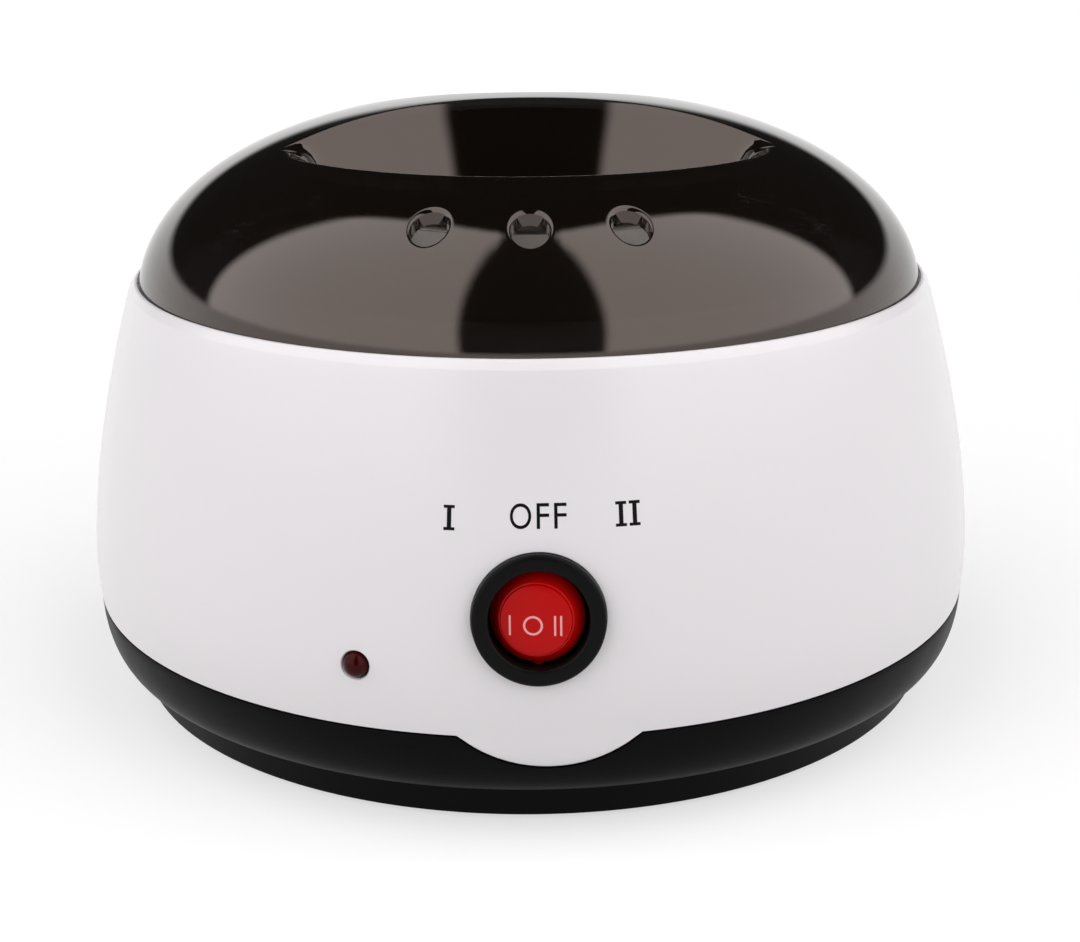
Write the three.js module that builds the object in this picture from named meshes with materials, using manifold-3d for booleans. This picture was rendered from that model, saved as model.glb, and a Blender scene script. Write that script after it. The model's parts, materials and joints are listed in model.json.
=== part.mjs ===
// Wax heater: a round table-top warmer for a lift-out pot of depilatory wax.
//
// A dark tray stands on rubber feet and carries a white moulded housing. An aluminium heating well
// hangs from the housing's deck, with a band heater clamped round it and a thermostat and a thermal
// fuse under it. The wax pot hangs in the well by its rim, with a folding wire handle, and a smoked
// dome lid stands on the housing over both. A round rocker switch and an indicator lamp are on the front.
//
// Millimetres, +Z up, the front faces -Y. The origin is on the table, under the centre of the heater.

import * as THREE from 'three';
import { mergeVertices } from 'three/addons/utils/BufferGeometryUtils.js';
import Module from 'manifold-3d';

const wasm = await Module();
wasm.setup();

// Fineness of the round forms
const roundSegments = 40;
const potSegments = 32;
const switchSegments = 24;
const turnedSegments = 14;
const smallSegments = 8;
const leastSegments = 6;
const slotSegments = 4;
const filletSteps = 3;
const outlineSteps = 5;
const bellySteps = 2;
const chamferSteps = 1;
const domeSteps = 8;
const weldDistance = 1e-4;

// Clearances between pieces
const seatGap = 0.3;
const runningGap = 0.25;
const liftGap = 0.5;
const overrun = 2;

// Housing, the white upper shell
const wiringRoom = 6.7;
const bellyHeight = 27;
const rimWidth = 1.7;
const rimRise = 3.2;
const wallCurvePower = 1.65;
const seamHeight = 19.6;
const seamTuck = 0.4;
const housingWall = 2.4;
const lipDepth = 1.2;
const lipRounding = 0.7;
const ledgeWidth = 4;
const deckThickness = 2.2;
const deckFillet = 4;
const collarWidth = 2.2;
const collarHeight = 4;
const postRadius = 4;
const postInset = 20.3;
const postCount = 4;
const postFirstTurn = 45;

// Tab of the housing that dips into the tray at the front
const tabWidth = 30.5;
const tabDepth = 5.5;
const tabTurn = 1.1;

// Base, the dark tray
const footClearance = 1;
const footInset = 8.3;
const footDraft = 0.4;
const stepHeight = 8.6;
const shoulderInset = 5.3;
const trayWall = 2.6;
const floorRecess = 2;
const floorThickness = 2.6;
const tongueHeight = 4;
const tongueWidth = 1.7;
const bossHeight = 10.5;
const bossWall = 1.7;
const ventCount = 10;
const ventLength = 20;
const ventWidth = 3;
const ventMargin = 6;

// Rubber feet
const padRadius = 7;
const padInset = 13;
const padSetIn = 1.2;
const padChamfer = 0.6;
const padCount = 4;

// Screws: head radius, head height, shank radius and length under the head
const trayScrew = { headRadius: 3, headHeight: 2, shankRadius: 1.5, length: 14 };
const wellScrew = { headRadius: 2.6, headHeight: 1.7, shankRadius: 1.25, length: 7 };
const bandScrew = { headRadius: 2.6, headHeight: 1.7, shankRadius: 1.4, length: 11 };
const screwCrown = 0.6;
const nutAcrossFlats = 5.5;
const nutHeight = 2.2;

// Lid, the smoked dome with a grip bar between two finger scoops
const lidRoom = 14.5;
const crownRoom = 24.1;
const lidWall = 2.2;
const domeTuck = 2.5;
const domeRisePower = 2.193;
const domeRoundPower = 2.216;
const dishInset = 25.4;
const dishLedgeWidth = 6.5;
const dishLedgeDrop = 1.5;
const bowlInset = 16;
const bowlRoom = 5.7;
const gripHalfWidth = 5.5;
const gripFlareShare = 0.47;
const lidTurn = -0.8;
const ventHoleRadius = 3.4;
const ventHoleInset = 12;
const ventHoleSpread = 15;
const ventHoleCount = 3;

// Wax pot, pressed aluminium
const potRadius = 55;
const potDepth = 57;
const potWall = 1.2;
const potCorner = 10;
const potLipDrop = 2.2;

// Ears, rivets and wire handle of the pot
const earWidth = 10;
const earThickness = 1.2;
const earTop = 3.4;
const pivotRise = 4;
const rivetRadius = 1.2;
const rivetHeadRadius = 2.1;
const rivetHeadHeight = 0.8;
const rivetInset = 2.1;
const handleWire = 1.5;
const handleBend = 3;
const handlePinReach = 2.2;
const handleArcSteps = 14;
const handleElbowSteps = 3;
const handleSides = 6;

// Heating well, spun aluminium
const wellClearance = 1.3;
const wellWall = 1;
const wellFloorClearance = 0.5;
const wellCorner = 10.5;
const wellFlangeWidth = 3.5;
const wellBossLength = 5;
const lugCount = 3;
const lugFirstTurn = 90;
const lugReach = 7.5;
const lugRadius = 4.6;
const spacerRadius = 4;
const spacerHeight = 1.8;
const studRadius = 1.4;
const studLength = 9;

// Band heater round the well
const bandGap = 0.4;
const bandThickness = 2.4;
const bandRise = 6.8;
const bandDrop = 5.8;
const bandSplit = 5;
const bandEarReach = 8;
const bandEarThickness = 1.4;

// Thermostat and thermal fuse under the well
const thermostatCapRadius = 8.2;
const thermostatCapHeight = 4;
const thermostatBodyRadius = 7.4;
const thermostatBodyHeight = 8;
const thermostatTabHeight = 5;
const thermostatTabSpacing = 8;
const thermostatRoom = 2.3;
const bracketThickness = 0.8;
const bracketWidth = 12;
const bracketStudSpacing = 26;
const fuseRadius = 2;
const fuseLength = 11;
const fuseLeadRadius = 0.5;
const fuseLeadLength = 9;
const fuseOffset = 28;
const fuseStudOffset = 7;
const fuseStrapWidth = 6;
const fuseStrapThickness = 0.8;

// Round rocker switch
const switchRise = 21.4;
const bezelRadius = 11.5;
const bezelThickness = 2.2;
const bezelRounding = 0.9;
const barrelRadius = 9.8;
const barrelDepth = 15;
const wellMouthRadius = 8.9;
const switchCavityDepth = 7.5;
const snapReach = 0.8;
const snapLength = 4;
const snapWidth = 5;
const rockerRadius = 7.8;
const rockerTopRadius = 7.1;
const rockerTilt = 6;
const rockerBelow = 5;
const rockerAbove = 0.9;
const rockerFaceRadius = 6.4;
const rockerFaceRise = 0.9;
const rockerPivotDepth = 3;
const pivotPinRadius = 1;
const pivotPinReach = 1.6;
const bladeWidth = 4.8;
const bladeThickness = 0.8;
const bladeLength = 7;
const bladeHoleRadius = 0.8;
const bladePitch = 6;
const bladeTipShare = 0.6;

// Indicator lamp and its holder
const lampTurn = -20.1;
const lampRise = 11.7;
const lampRadius = 2.3;
const lampProud = 1.9;
const lampBody = 6;
const lampFlange = 0.5;
const lampFlangeHeight = 1;
const lampLeadRadius = 0.4;
const lampLeadLength = 9;
const lampLeadSpacing = 2.5;
const holderWall = 1.4;
const holderLength = 4.5;

// Cord gland at the back
const glandRise = 11.4;
const glandBore = 3.3;
const glandNeckRadius = 5.4;
const glandFlangeRadius = 7.6;
const glandInnerFlange = 1.4;
const glandInnerRadius = 6.6;
const glandRounding = 0.6;

// Flat pads cut on the curved wall for the switch, the lamp and the gland
const padMargin = 0.4;

// Radii that several pieces share, from the pot outwards
const wellRadius = potRadius + potWall + wellClearance;
const wellOuter = wellRadius + wellWall;
const collarRadius = wellOuter + liftGap;
const potLipRadius = collarRadius + collarWidth + liftGap;
const potRimRadius = potLipRadius + potWall;
const lidRadius = potRimRadius + lidRoom;
const dishRadius = lidRadius - dishInset;
const bowlRadius = dishRadius - bowlInset;
const ventHoleOffset = lidRadius - ventHoleInset;
const lipRadius = lidRadius + liftGap;
const rimRadius = lipRadius + rimWidth;
const lugOffset = wellOuter + lugReach;
const bandOuter = wellOuter + bandGap + bandThickness;
const bellyRadius = bandOuter + wiringRoom + bladeLength + seatGap + barrelDepth;
const footRadius = bellyRadius - footInset;
const postOffset = bellyRadius - postInset;
const padOffset = footRadius - padInset;
const ventOffset = padOffset - padRadius - ventMargin - ventLength / 2;

// Heights that several pieces share, from the table upwards
const trayFloor = footClearance + floorRecess;
const trayInside = trayFloor + floorThickness;
const thermostatHeight = thermostatTabHeight + thermostatBodyHeight + thermostatCapHeight;
const wellUnderside = trayInside + thermostatRoom + thermostatHeight + seatGap;
const wellFloor = wellUnderside + wellWall;
const potFloor = wellFloor + wellFloorClearance + potWall;
const potRim = potFloor + potDepth;
const collarTop = potRim - potWall - seatGap;
const deckHeight = collarTop - collarHeight;
const underDeck = deckHeight - deckThickness;
const wellBossEnd = underDeck - wellBossLength;
const wellFlangeTop = wellBossEnd - spacerHeight - 2 * seatGap;
const bandBottom = wellFloor + bandRise;
const bandHeight = wellFlangeTop - wellWall - bandDrop - bandBottom;
const bossTop = trayFloor + bossHeight;
const screwSeat = bossTop - floorThickness;
const postBottom = bossTop + seatGap;
const rimHeight = deckHeight + rimRise;
const ledgeHeight = rimHeight - lipDepth;
const lidBottom = ledgeHeight + seatGap;
const pivotHeight = potRim + pivotRise;
const bowlFloor = pivotHeight + earTop + bowlRoom;
const lidTop = pivotHeight + earTop + crownRoom;

// Finishes
const whiteGloss = { color: 0xe6e4e6, roughness: 0.22, metalness: 0 };
const darkPlastic = { color: 0x262626, roughness: 0.55, metalness: 0 };
const smokedPlastic = { color: 0x1c1714, roughness: 0.08, metalness: 0, transparent: true, opacity: 0.85 };
const redPlastic = { color: 0xb40a0c, roughness: 0.25, metalness: 0 };
const aluminium = { color: 0xb9bcbf, roughness: 0.35, metalness: 1 };
const steel = { color: 0xa4a6a8, roughness: 0.3, metalness: 1 };
const rubber = { color: 0x1a1a1a, roughness: 0.85, metalness: 0 };
const ceramic = { color: 0xe8e2d4, roughness: 0.6, metalness: 0 };
const mica = { color: 0x9a8b6c, roughness: 0.5, metalness: 0.2 };

const radians = THREE.MathUtils.degToRad;
const model = new THREE.Group();

// Solids, joins and cuts

function solid(geometry) {
  const bare = geometry.clone();
  bare.deleteAttribute('normal');
  bare.deleteAttribute('uv');
  const merged = mergeVertices(bare, weldDistance);
  return new wasm.Manifold(new wasm.Mesh({
    numProp: 3,
    vertProperties: new Float32Array(merged.attributes.position.array),
    triVerts: new Uint32Array(merged.index.array),
  }));
}

function geometryOf(manifold) {
  const mesh = manifold.getMesh();
  const geometry = new THREE.BufferGeometry();
  geometry.setAttribute('position', new THREE.BufferAttribute(new Float32Array(mesh.vertProperties), 3));
  geometry.setIndex(new THREE.BufferAttribute(new Uint32Array(mesh.triVerts), 1));
  geometry.computeVertexNormals();
  return geometry;
}

function cut(body, ...tools) {
  return tools.reduce((rest, tool) => rest.subtract(tool), body);
}

function join(body, ...others) {
  return others.reduce((whole, other) => whole.add(other), body);
}

function piece(name, shape, finish, matrix = new THREE.Matrix4()) {
  const geometry = geometryOf(shape.isBufferGeometry ? solid(shape) : shape);
  const mesh = new THREE.Mesh(geometry, new THREE.MeshStandardMaterial(finish));
  mesh.name = name;
  matrix.decompose(mesh.position, mesh.quaternion, mesh.scale);
  model.add(mesh);
  return mesh;
}

// Outlines are lists of [radius, height] pairs, turned about the upright axis

function turned(outline, segments = roundSegments) {
  const points = outline.map(([r, z]) => new THREE.Vector2(r, z));
  points.push(points[0].clone());
  const geometry = new THREE.LatheGeometry(points, segments);
  geometry.rotateX(Math.PI / 2);
  return geometry;
}

// Part of an ellipse in an outline, from one angle to another, in degrees from outwards to upwards
function bend(r, z, radiusAcross, radiusUp, from, to, steps = filletSteps) {
  return Array.from({ length: steps + 1 }, (_, i) => {
    const angle = radians(from + (to - from) * i / steps);
    return [r + radiusAcross * Math.cos(angle), z + radiusUp * Math.sin(angle)];
  });
}

function disc(radius, from, to, segments = turnedSegments) {
  return turned([[0, from], [radius, from], [radius, to], [0, to]], segments);
}

function tube(inner, outer, from, to, segments = turnedSegments) {
  return turned([[inner, from], [outer, from], [outer, to], [inner, to]], segments);
}

function block(width, depth, from, to, x = 0, y = 0) {
  const box = new THREE.BoxGeometry(width, depth, to - from);
  box.translate(x, y, (from + to) / 2);
  return box;
}

// Extruded upwards, with a number of sides for each full round in the shape
function extruded(shape, from, to, sides = smallSegments) {
  const geometry = new THREE.ExtrudeGeometry(shape, {
    depth: to - from, bevelEnabled: false, curveSegments: sides / 2,
  });
  geometry.translate(0, 0, from);
  return geometry;
}

// A slot with round ends, its length along X
function slotShape(length, width) {
  const half = length / 2 - width / 2;
  const shape = new THREE.Shape();
  shape.absarc(half, 0, width / 2, -Math.PI / 2, Math.PI / 2, false);
  shape.absarc(-half, 0, width / 2, Math.PI / 2, 3 * Math.PI / 2, false);
  return shape;
}

// Places on the heater: turned by an angle from the front, in degrees, to the right
function around(turn, offset, z = 0) {
  return new THREE.Matrix4().makeTranslation(
    offset * Math.sin(radians(turn)), -offset * Math.cos(radians(turn)), z);
}

function spun(turn) {
  return new THREE.Matrix4().makeRotationZ(radians(turn));
}

function moved(geometry, matrix) {
  const copy = geometry.clone();
  copy.applyMatrix4(matrix);
  return copy;
}

function turns(count, first) {
  return Array.from({ length: count }, (_, i) => first + 360 * i / count);
}

// Form of the housing's outer wall

function housingRadius(z) {
  if (z < bellyHeight) {
    return bellyRadius - seamTuck * ((bellyHeight - z) / (bellyHeight - seamHeight)) ** 2;
  }
  const share = (z - bellyHeight) / (rimHeight - bellyHeight);
  return bellyRadius - (bellyRadius - rimRadius) * share ** wallCurvePower;
}

function housingSlope(z) {
  const rise = rimHeight - bellyHeight;
  const share = Math.max(0, (z - bellyHeight) / rise);
  return (bellyRadius - rimRadius) / rise * wallCurvePower * share ** (wallCurvePower - 1);
}

function wallOutline(from, to, inset, steps) {
  return Array.from({ length: steps + 1 }, (_, i) => {
    const z = from + (to - from) * i / steps;
    return [housingRadius(z) - inset, z];
  });
}

// A frame on the wall's face: its Z points out along the normal, and its zero is a flat pad of the
// given radius, sunk until the pad is flat all over
function wallFrame(turn, z, padSize) {
  const radius = housingRadius(z);
  const tilt = Math.atan(housingSlope(z));
  const sunk = (radius - Math.sqrt(radius ** 2 - padSize ** 2)) + runningGap;
  const frame = new THREE.Matrix4().makeRotationZ(radians(turn));
  frame.multiply(new THREE.Matrix4().makeTranslation(0, -radius, z));
  frame.multiply(new THREE.Matrix4().makeRotationX(Math.PI / 2 - tilt));
  frame.multiply(new THREE.Matrix4().makeTranslation(0, 0, -sunk));
  return frame;
}

const switchFrame = wallFrame(0, seamHeight + switchRise, bezelRadius + padMargin);
const lampFrame = wallFrame(lampTurn, seamHeight + lampRise, lampRadius + padMargin);
const glandFrame = wallFrame(180, seamHeight + glandRise, glandFlangeRadius + padMargin);

function wallCut(frame, holeRadius, padSize) {
  const hole = moved(disc(holeRadius, -housingWall - 2 * overrun, overrun), frame);
  const pad = moved(disc(padSize, 0, 2 * overrun), frame);
  return solid(hole).add(solid(pad));
}

// Where the tray meets the housing
const seamRadius = housingRadius(seamHeight);
const tongueRadius = seamRadius - housingWall - seatGap;
const tongueInner = tongueRadius - tongueWidth;

// Tab: a segment of a circle below the seam, cut from the front wall
function tabShape(grow) {
  const half = tabWidth / 2;
  const radius = (half ** 2 + tabDepth ** 2) / (2 * tabDepth);
  const centre = seamHeight - tabDepth + radius;
  const span = Math.asin(half / radius);
  const shape = new THREE.Shape();
  shape.absarc(0, centre, radius + grow, -Math.PI / 2 - span, -Math.PI / 2 + span, false);
  shape.lineTo(half + grow, seamHeight + overrun);
  shape.lineTo(-half - grow, seamHeight + overrun);
  return shape;
}

function tabBlock(grow) {
  const geometry = extruded(tabShape(grow), 0, bellyRadius + overrun, outlineSteps);
  geometry.rotateX(Math.PI / 2);
  geometry.rotateZ(radians(tabTurn));
  return solid(geometry);
}

// Outer face of the tray, from the step up to the seam, which the tab follows too
function shoulder(steps) {
  const drop = seamHeight - stepHeight;
  return bend(seamRadius - shoulderInset, seamHeight, shoulderInset, drop, -90, 0, steps);
}

// Housing
function housing() {
  const outline = [
    ...wallOutline(seamHeight + seatGap, bellyHeight, 0, bellySteps),
    ...wallOutline(bellyHeight, rimHeight - lipRounding, 0, outlineSteps).slice(1),
    ...bend(rimRadius - lipRounding, rimHeight - lipRounding, lipRounding, lipRounding, 0, 90).slice(1),
    [lipRadius, rimHeight],
    [lipRadius, ledgeHeight],
    [lipRadius - ledgeWidth, ledgeHeight],
    [collarRadius + collarWidth, deckHeight],
    [collarRadius + collarWidth, collarTop],
    [collarRadius, collarTop],
    [collarRadius, underDeck],
    ...bend(housingRadius(underDeck) - housingWall - deckFillet, underDeck - deckFillet,
      deckFillet, deckFillet, 90, 0, chamferSteps),
    ...wallOutline(underDeck - deckFillet - overrun, bellyHeight, housingWall, outlineSteps),
    [housingRadius(seamHeight + seatGap) - housingWall, seamHeight + seatGap],
  ];
  const inDeck = underDeck + deckThickness / 2;
  const posts = turns(postCount, postFirstTurn).map((turn) => {
    const post = tube(trayScrew.shankRadius + runningGap, postRadius, postBottom, inDeck, smallSegments);
    return solid(moved(post, around(turn, postOffset)));
  });
  const bosses = turns(lugCount, lugFirstTurn).map((turn) => {
    const boss = tube(wellScrew.shankRadius + runningGap, spacerRadius, wellBossEnd, inDeck, smallSegments);
    return solid(moved(boss, around(turn, lugOffset)));
  });
  const tab = solid(turned([
    ...shoulder(outlineSteps),
    [seamRadius, seamHeight + housingWall],
    [tongueRadius + seatGap, seamHeight + housingWall],
    [tongueRadius + seatGap, stepHeight],
  ])).intersect(tabBlock(0));
  return cut(
    join(solid(turned(outline)), ...posts, ...bosses, tab),
    wallCut(switchFrame, barrelRadius + runningGap, bezelRadius + padMargin),
    wallCut(lampFrame, lampRadius + runningGap, lampRadius + padMargin),
    wallCut(glandFrame, glandNeckRadius + runningGap, glandFlangeRadius + padMargin),
  );
}
piece('housing', housing(), whiteGloss);

// Base
function base() {
  const outline = [
    [0, trayFloor],
    [footRadius - trayWall, trayFloor],
    [footRadius - trayWall, footClearance],
    [footRadius, footClearance],
    [footRadius + footDraft, stepHeight],
    ...shoulder(outlineSteps),
    [tongueRadius, seamHeight],
    [tongueRadius, seamHeight + tongueHeight],
    [tongueInner, seamHeight + tongueHeight],
    [tongueInner, stepHeight + trayWall],
    [footRadius - trayWall, stepHeight + trayWall],
    [footRadius - trayWall, trayInside],
    [0, trayInside],
  ];
  const bossRadius = trayScrew.headRadius + seatGap + bossWall;
  const bosses = turns(postCount, postFirstTurn).map((turn) =>
    solid(moved(disc(bossRadius, trayFloor, bossTop, smallSegments), around(turn, postOffset))));
  const bores = turns(postCount, postFirstTurn).map((turn) => {
    const sink = disc(trayScrew.headRadius + seatGap, 0, screwSeat, smallSegments);
    const hole = disc(trayScrew.shankRadius + seatGap, 0, bossTop + overrun, smallSegments);
    return solid(moved(sink, around(turn, postOffset))).add(solid(moved(hole, around(turn, postOffset))));
  });
  const sockets = turns(padCount, 0).map((turn) =>
    solid(moved(disc(padRadius + seatGap, 0, trayFloor + padSetIn), around(turn, padOffset))));
  const vents = turns(ventCount, 180 / ventCount).map((turn) => {
    const shape = slotShape(ventLength, ventWidth);
    const slot = extruded(shape, trayFloor - overrun, trayInside + overrun, slotSegments);
    slot.translate(ventOffset, 0, 0);
    return solid(moved(slot, spun(turn)));
  });
  const notch = tabBlock(seatGap).subtract(solid(disc(tongueRadius, 0, rimHeight, roundSegments)));
  return cut(join(solid(turned(outline)), ...bosses), ...bores, ...sockets, ...vents, notch);
}
piece('base', base(), darkPlastic);

// Feet
function rubberFoot() {
  const top = trayFloor + padSetIn - seatGap;
  return turned([
    [0, 0],
    [padRadius - padChamfer, 0],
    [padRadius, padChamfer],
    [padRadius, top],
    [0, top],
  ], turnedSegments);
}
turns(padCount, 0).forEach((turn, i) =>
  piece(`rubber_foot_${i + 1}`, rubberFoot(), rubber, around(turn, padOffset)));

// Screws stand on their heads' undersides at zero, with the shank upwards
function screw({ headRadius, headHeight, shankRadius, length }) {
  return turned([
    [0, -headHeight],
    [headRadius - screwCrown, -headHeight],
    [headRadius, screwCrown - headHeight],
    [headRadius, 0],
    [shankRadius, 0],
    [shankRadius, length - shankRadius],
    [shankRadius / 2, length],
    [0, length],
  ], smallSegments);
}

// A hexagon nut, its upper face at zero
function nut(boreRadius) {
  const corner = nutAcrossFlats / 2 / Math.cos(Math.PI / 6);
  const hexagon = disc(corner, -nutHeight, 0, 6);
  const bore = disc(boreRadius, -nutHeight - overrun, overrun, leastSegments);
  return solid(hexagon).subtract(solid(bore));
}

turns(postCount, postFirstTurn).forEach((turn, i) =>
  piece(`base_screw_${i + 1}`, screw(trayScrew), steel, around(turn, postOffset, screwSeat - seatGap)));

// Lid

// Height of the dome's face over a radius, and the dome's outline from its edge to the crown
function domeHeight(r, inset) {
  const start = lidBottom - domeTuck;
  const share = 1 - (r / (lidRadius - inset)) ** domeRoundPower;
  return start + (lidTop - inset - start) * share ** (1 / domeRisePower);
}

function domeOutline(inset, bottom) {
  const start = lidBottom - domeTuck;
  const rise = lidTop - inset - start;
  const first = Math.asin((lidBottom - start) / rise);
  const face = Array.from({ length: domeSteps + 1 }, (_, i) => {
    const share = Math.sin(first + (Math.PI / 2 - first) * i / domeSteps);
    const radiusShare = Math.max(0, 1 - share ** domeRisePower) ** (1 / domeRoundPower);
    return [(lidRadius - inset) * radiusShare, start + rise * share];
  });
  face[domeSteps][0] = 0;
  return [[0, bottom], [face[0][0], bottom], ...face.slice(bottom < lidBottom ? 0 : 1)];
}

// Round dish sunk in the crown: a ledge inside the dome's edge, then a bowl
function dishTool(grow) {
  const edge = dishRadius + grow;
  const edgeHeight = domeHeight(dishRadius, 0) - grow;
  const ledgeInner = dishRadius - dishLedgeWidth;
  const ledgeEnd = new THREE.Vector2(ledgeInner + grow / 2, edgeHeight - dishLedgeDrop);
  const bowlEnd = new THREE.Vector2(bowlRadius - grow / 2, bowlFloor - grow);
  const middle = (ledgeEnd.x + bowlEnd.x) / 2;
  const curve = new THREE.CubicBezierCurve(
    ledgeEnd, new THREE.Vector2(middle, ledgeEnd.y), new THREE.Vector2(middle, bowlEnd.y), bowlEnd);
  return solid(turned([
    [0, bowlFloor - grow],
    ...curve.getPoints(outlineSteps).reverse().map((p) => [p.x, p.y]),
    [edge, edgeHeight],
    [edge, lidTop + overrun],
    [0, lidTop + overrun],
  ]));
}

// Grip bar across the dish, waisted in the middle and flared to both sides
function gripBar(grow) {
  const reach = dishRadius + lidWall + overrun;
  const edge = Array.from({ length: 2 * outlineSteps + 1 }, (_, i) => {
    const x = reach * (i / outlineSteps - 1);
    return new THREE.Vector2(x, Math.hypot(gripHalfWidth, gripFlareShare * x) + grow);
  });
  const back = edge.map((p) => new THREE.Vector2(-p.x, -p.y));
  const shape = new THREE.Shape([...edge, ...back].reverse());
  return solid(extruded(shape, bowlFloor - 2 * lidWall, lidTop + overrun));
}

function lid() {
  const outside = solid(turned(domeOutline(0, lidBottom))).subtract(dishTool(0).subtract(gripBar(0)));
  const inside = solid(turned(domeOutline(lidWall, lidBottom - overrun)))
    .subtract(dishTool(lidWall).subtract(gripBar(-lidWall)));
  const vents = Array.from({ length: ventHoleCount }, (_, i) => {
    const turn = ventHoleSpread * (i - (ventHoleCount - 1) / 2);
    return solid(moved(disc(ventHoleRadius, lidBottom, lidTop), around(turn, ventHoleOffset)));
  });
  return cut(outside, inside, ...vents);
}
piece('lid', lid(), smokedPlastic, spun(lidTurn));

// Wax pot
function waxPot() {
  const outer = potRadius + potWall;
  const under = potFloor - potWall;
  const corner = potCorner + potWall;
  const outline = [
    [0, under],
    ...bend(outer - corner, under + corner, corner, corner, -90, 0),
    [outer, potRim - potWall],
    [potLipRadius, potRim - potWall],
    [potLipRadius, potRim - potLipDrop],
    [potRimRadius, potRim - potLipDrop],
    ...bend(potRimRadius - potWall, potRim - potWall, potWall, potWall, 0, 90),
    [potRadius, potRim],
    ...bend(potRadius - potCorner, potFloor + potCorner, potCorner, potCorner, 0, -90),
    [0, potFloor],
  ];
  const holes = [-90, 90].map((turn) => {
    const hole = disc(rivetRadius + runningGap, potRim - 2 * potWall, potRim + overrun, smallSegments);
    return solid(moved(hole, around(turn, potRimRadius - rivetInset)));
  });
  return cut(solid(turned(outline, potSegments)), ...holes);
}
piece('wax_pot', waxPot(), aluminium);

// Ears: a foot on the rim and an upright plate that the handle's end turns in
const earOuter = potRimRadius - potWall / 2;
const earPlate = potRadius + potWall + earThickness;
function potEar() {
  const bottom = potRim + seatGap / 2;
  const top = pivotHeight + earTop;
  const foot = block(earOuter - earPlate + earThickness, earWidth, bottom, bottom + earThickness,
    (earOuter + earPlate - earThickness) / 2);
  const shape = slotShape(2 * (pivotHeight - bottom) + 2 * earTop, 2 * earTop);
  const plate = extruded(shape, 0, earThickness);
  plate.rotateY(-Math.PI / 2);
  plate.translate(earPlate, 0, bottom);
  const below = block(2 * earOuter, 2 * earWidth, bottom - top, bottom);
  const bore = disc(handleWire + runningGap, -overrun, earThickness + overrun, smallSegments);
  bore.rotateY(-Math.PI / 2);
  bore.translate(earPlate, 0, pivotHeight);
  const rivetHole = disc(rivetRadius + runningGap, bottom - overrun, bottom + overrun, smallSegments);
  rivetHole.translate(potRimRadius - rivetInset, 0, 0);
  return cut(join(solid(foot), solid(plate)), solid(below), solid(bore), solid(rivetHole));
}

// Rivets: a round head on the ear's foot, closed flush with the rim's underside
function earRivet() {
  const over = potRim + seatGap + earThickness;
  return turned([
    [0, potRim - potWall],
    [rivetRadius, potRim - potWall],
    [rivetRadius, over],
    [rivetHeadRadius, over],
    [rivetHeadRadius - rivetHeadHeight / 2, over + rivetHeadHeight],
    [0, over + rivetHeadHeight],
  ], smallSegments);
}

[['right', 0], ['left', 180]].forEach(([side, turn]) => {
  piece(`pot_ear_${side}`, potEar(), steel, spun(turn));
  piece(`ear_rivet_${side}`, earRivet(), steel, around(turn + 90, potRimRadius - rivetInset));
});

// A path of several stretches, each with its own number of steps
class SteppedPath extends THREE.Curve {
  constructor(stretches) {
    super();
    this.stretches = stretches;
    this.steps = stretches.reduce((sum, [, steps]) => sum + steps, 0);
  }

  getPoint(t) {
    let step = t * this.steps;
    const at = this.stretches.findIndex(([, steps], i) => {
      const found = step <= steps || i === this.stretches.length - 1;
      if (!found) {
        step -= steps;
      }
      return found;
    });
    const [curve, steps] = this.stretches[at];
    return curve.getPoint(Math.min(1, step / steps));
  }

  getUtoTmapping(u) {
    return u;
  }
}

// Bow of the handle, a half circle in the level plane through the pivots
class Bow extends THREE.Curve {
  constructor(radius, start) {
    super();
    this.radius = radius;
    this.start = start;
  }

  getPoint(t) {
    const angle = Math.PI * t;
    return new THREE.Vector3(
      this.radius * Math.cos(angle), this.start + this.radius * Math.sin(angle), pivotHeight);
  }
}

// Wire handle, folded back over the pot's rim, its ends turned in through the ears
function potHandle() {
  const arm = earPlate + handlePinReach + handleWire;
  const pinEnd = earPlate - earThickness - handlePinReach;
  const at = (x, y) => new THREE.Vector3(x, y, pivotHeight);
  const pin = (side) => [at(side * pinEnd, 0), at(side * (arm - handleBend), 0)];
  const elbow = (side) => [at(side * (arm - handleBend), 0), at(side * arm, 0), at(side * arm, handleBend)];
  const path = new SteppedPath([
    [new THREE.LineCurve3(...pin(1)), 1],
    [new THREE.QuadraticBezierCurve3(...elbow(1)), handleElbowSteps],
    [new Bow(arm, handleBend), handleArcSteps],
    [new THREE.QuadraticBezierCurve3(...elbow(-1).reverse()), handleElbowSteps],
    [new THREE.LineCurve3(...pin(-1).reverse()), 1],
  ]);
  const section = new THREE.Shape();
  section.absarc(0, 0, handleWire, 0, 2 * Math.PI, false);
  return new THREE.ExtrudeGeometry(section, {
    steps: path.steps, extrudePath: path, bevelEnabled: false, curveSegments: handleSides / 2,
  });
}
piece('pot_handle', potHandle(), steel);

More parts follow.
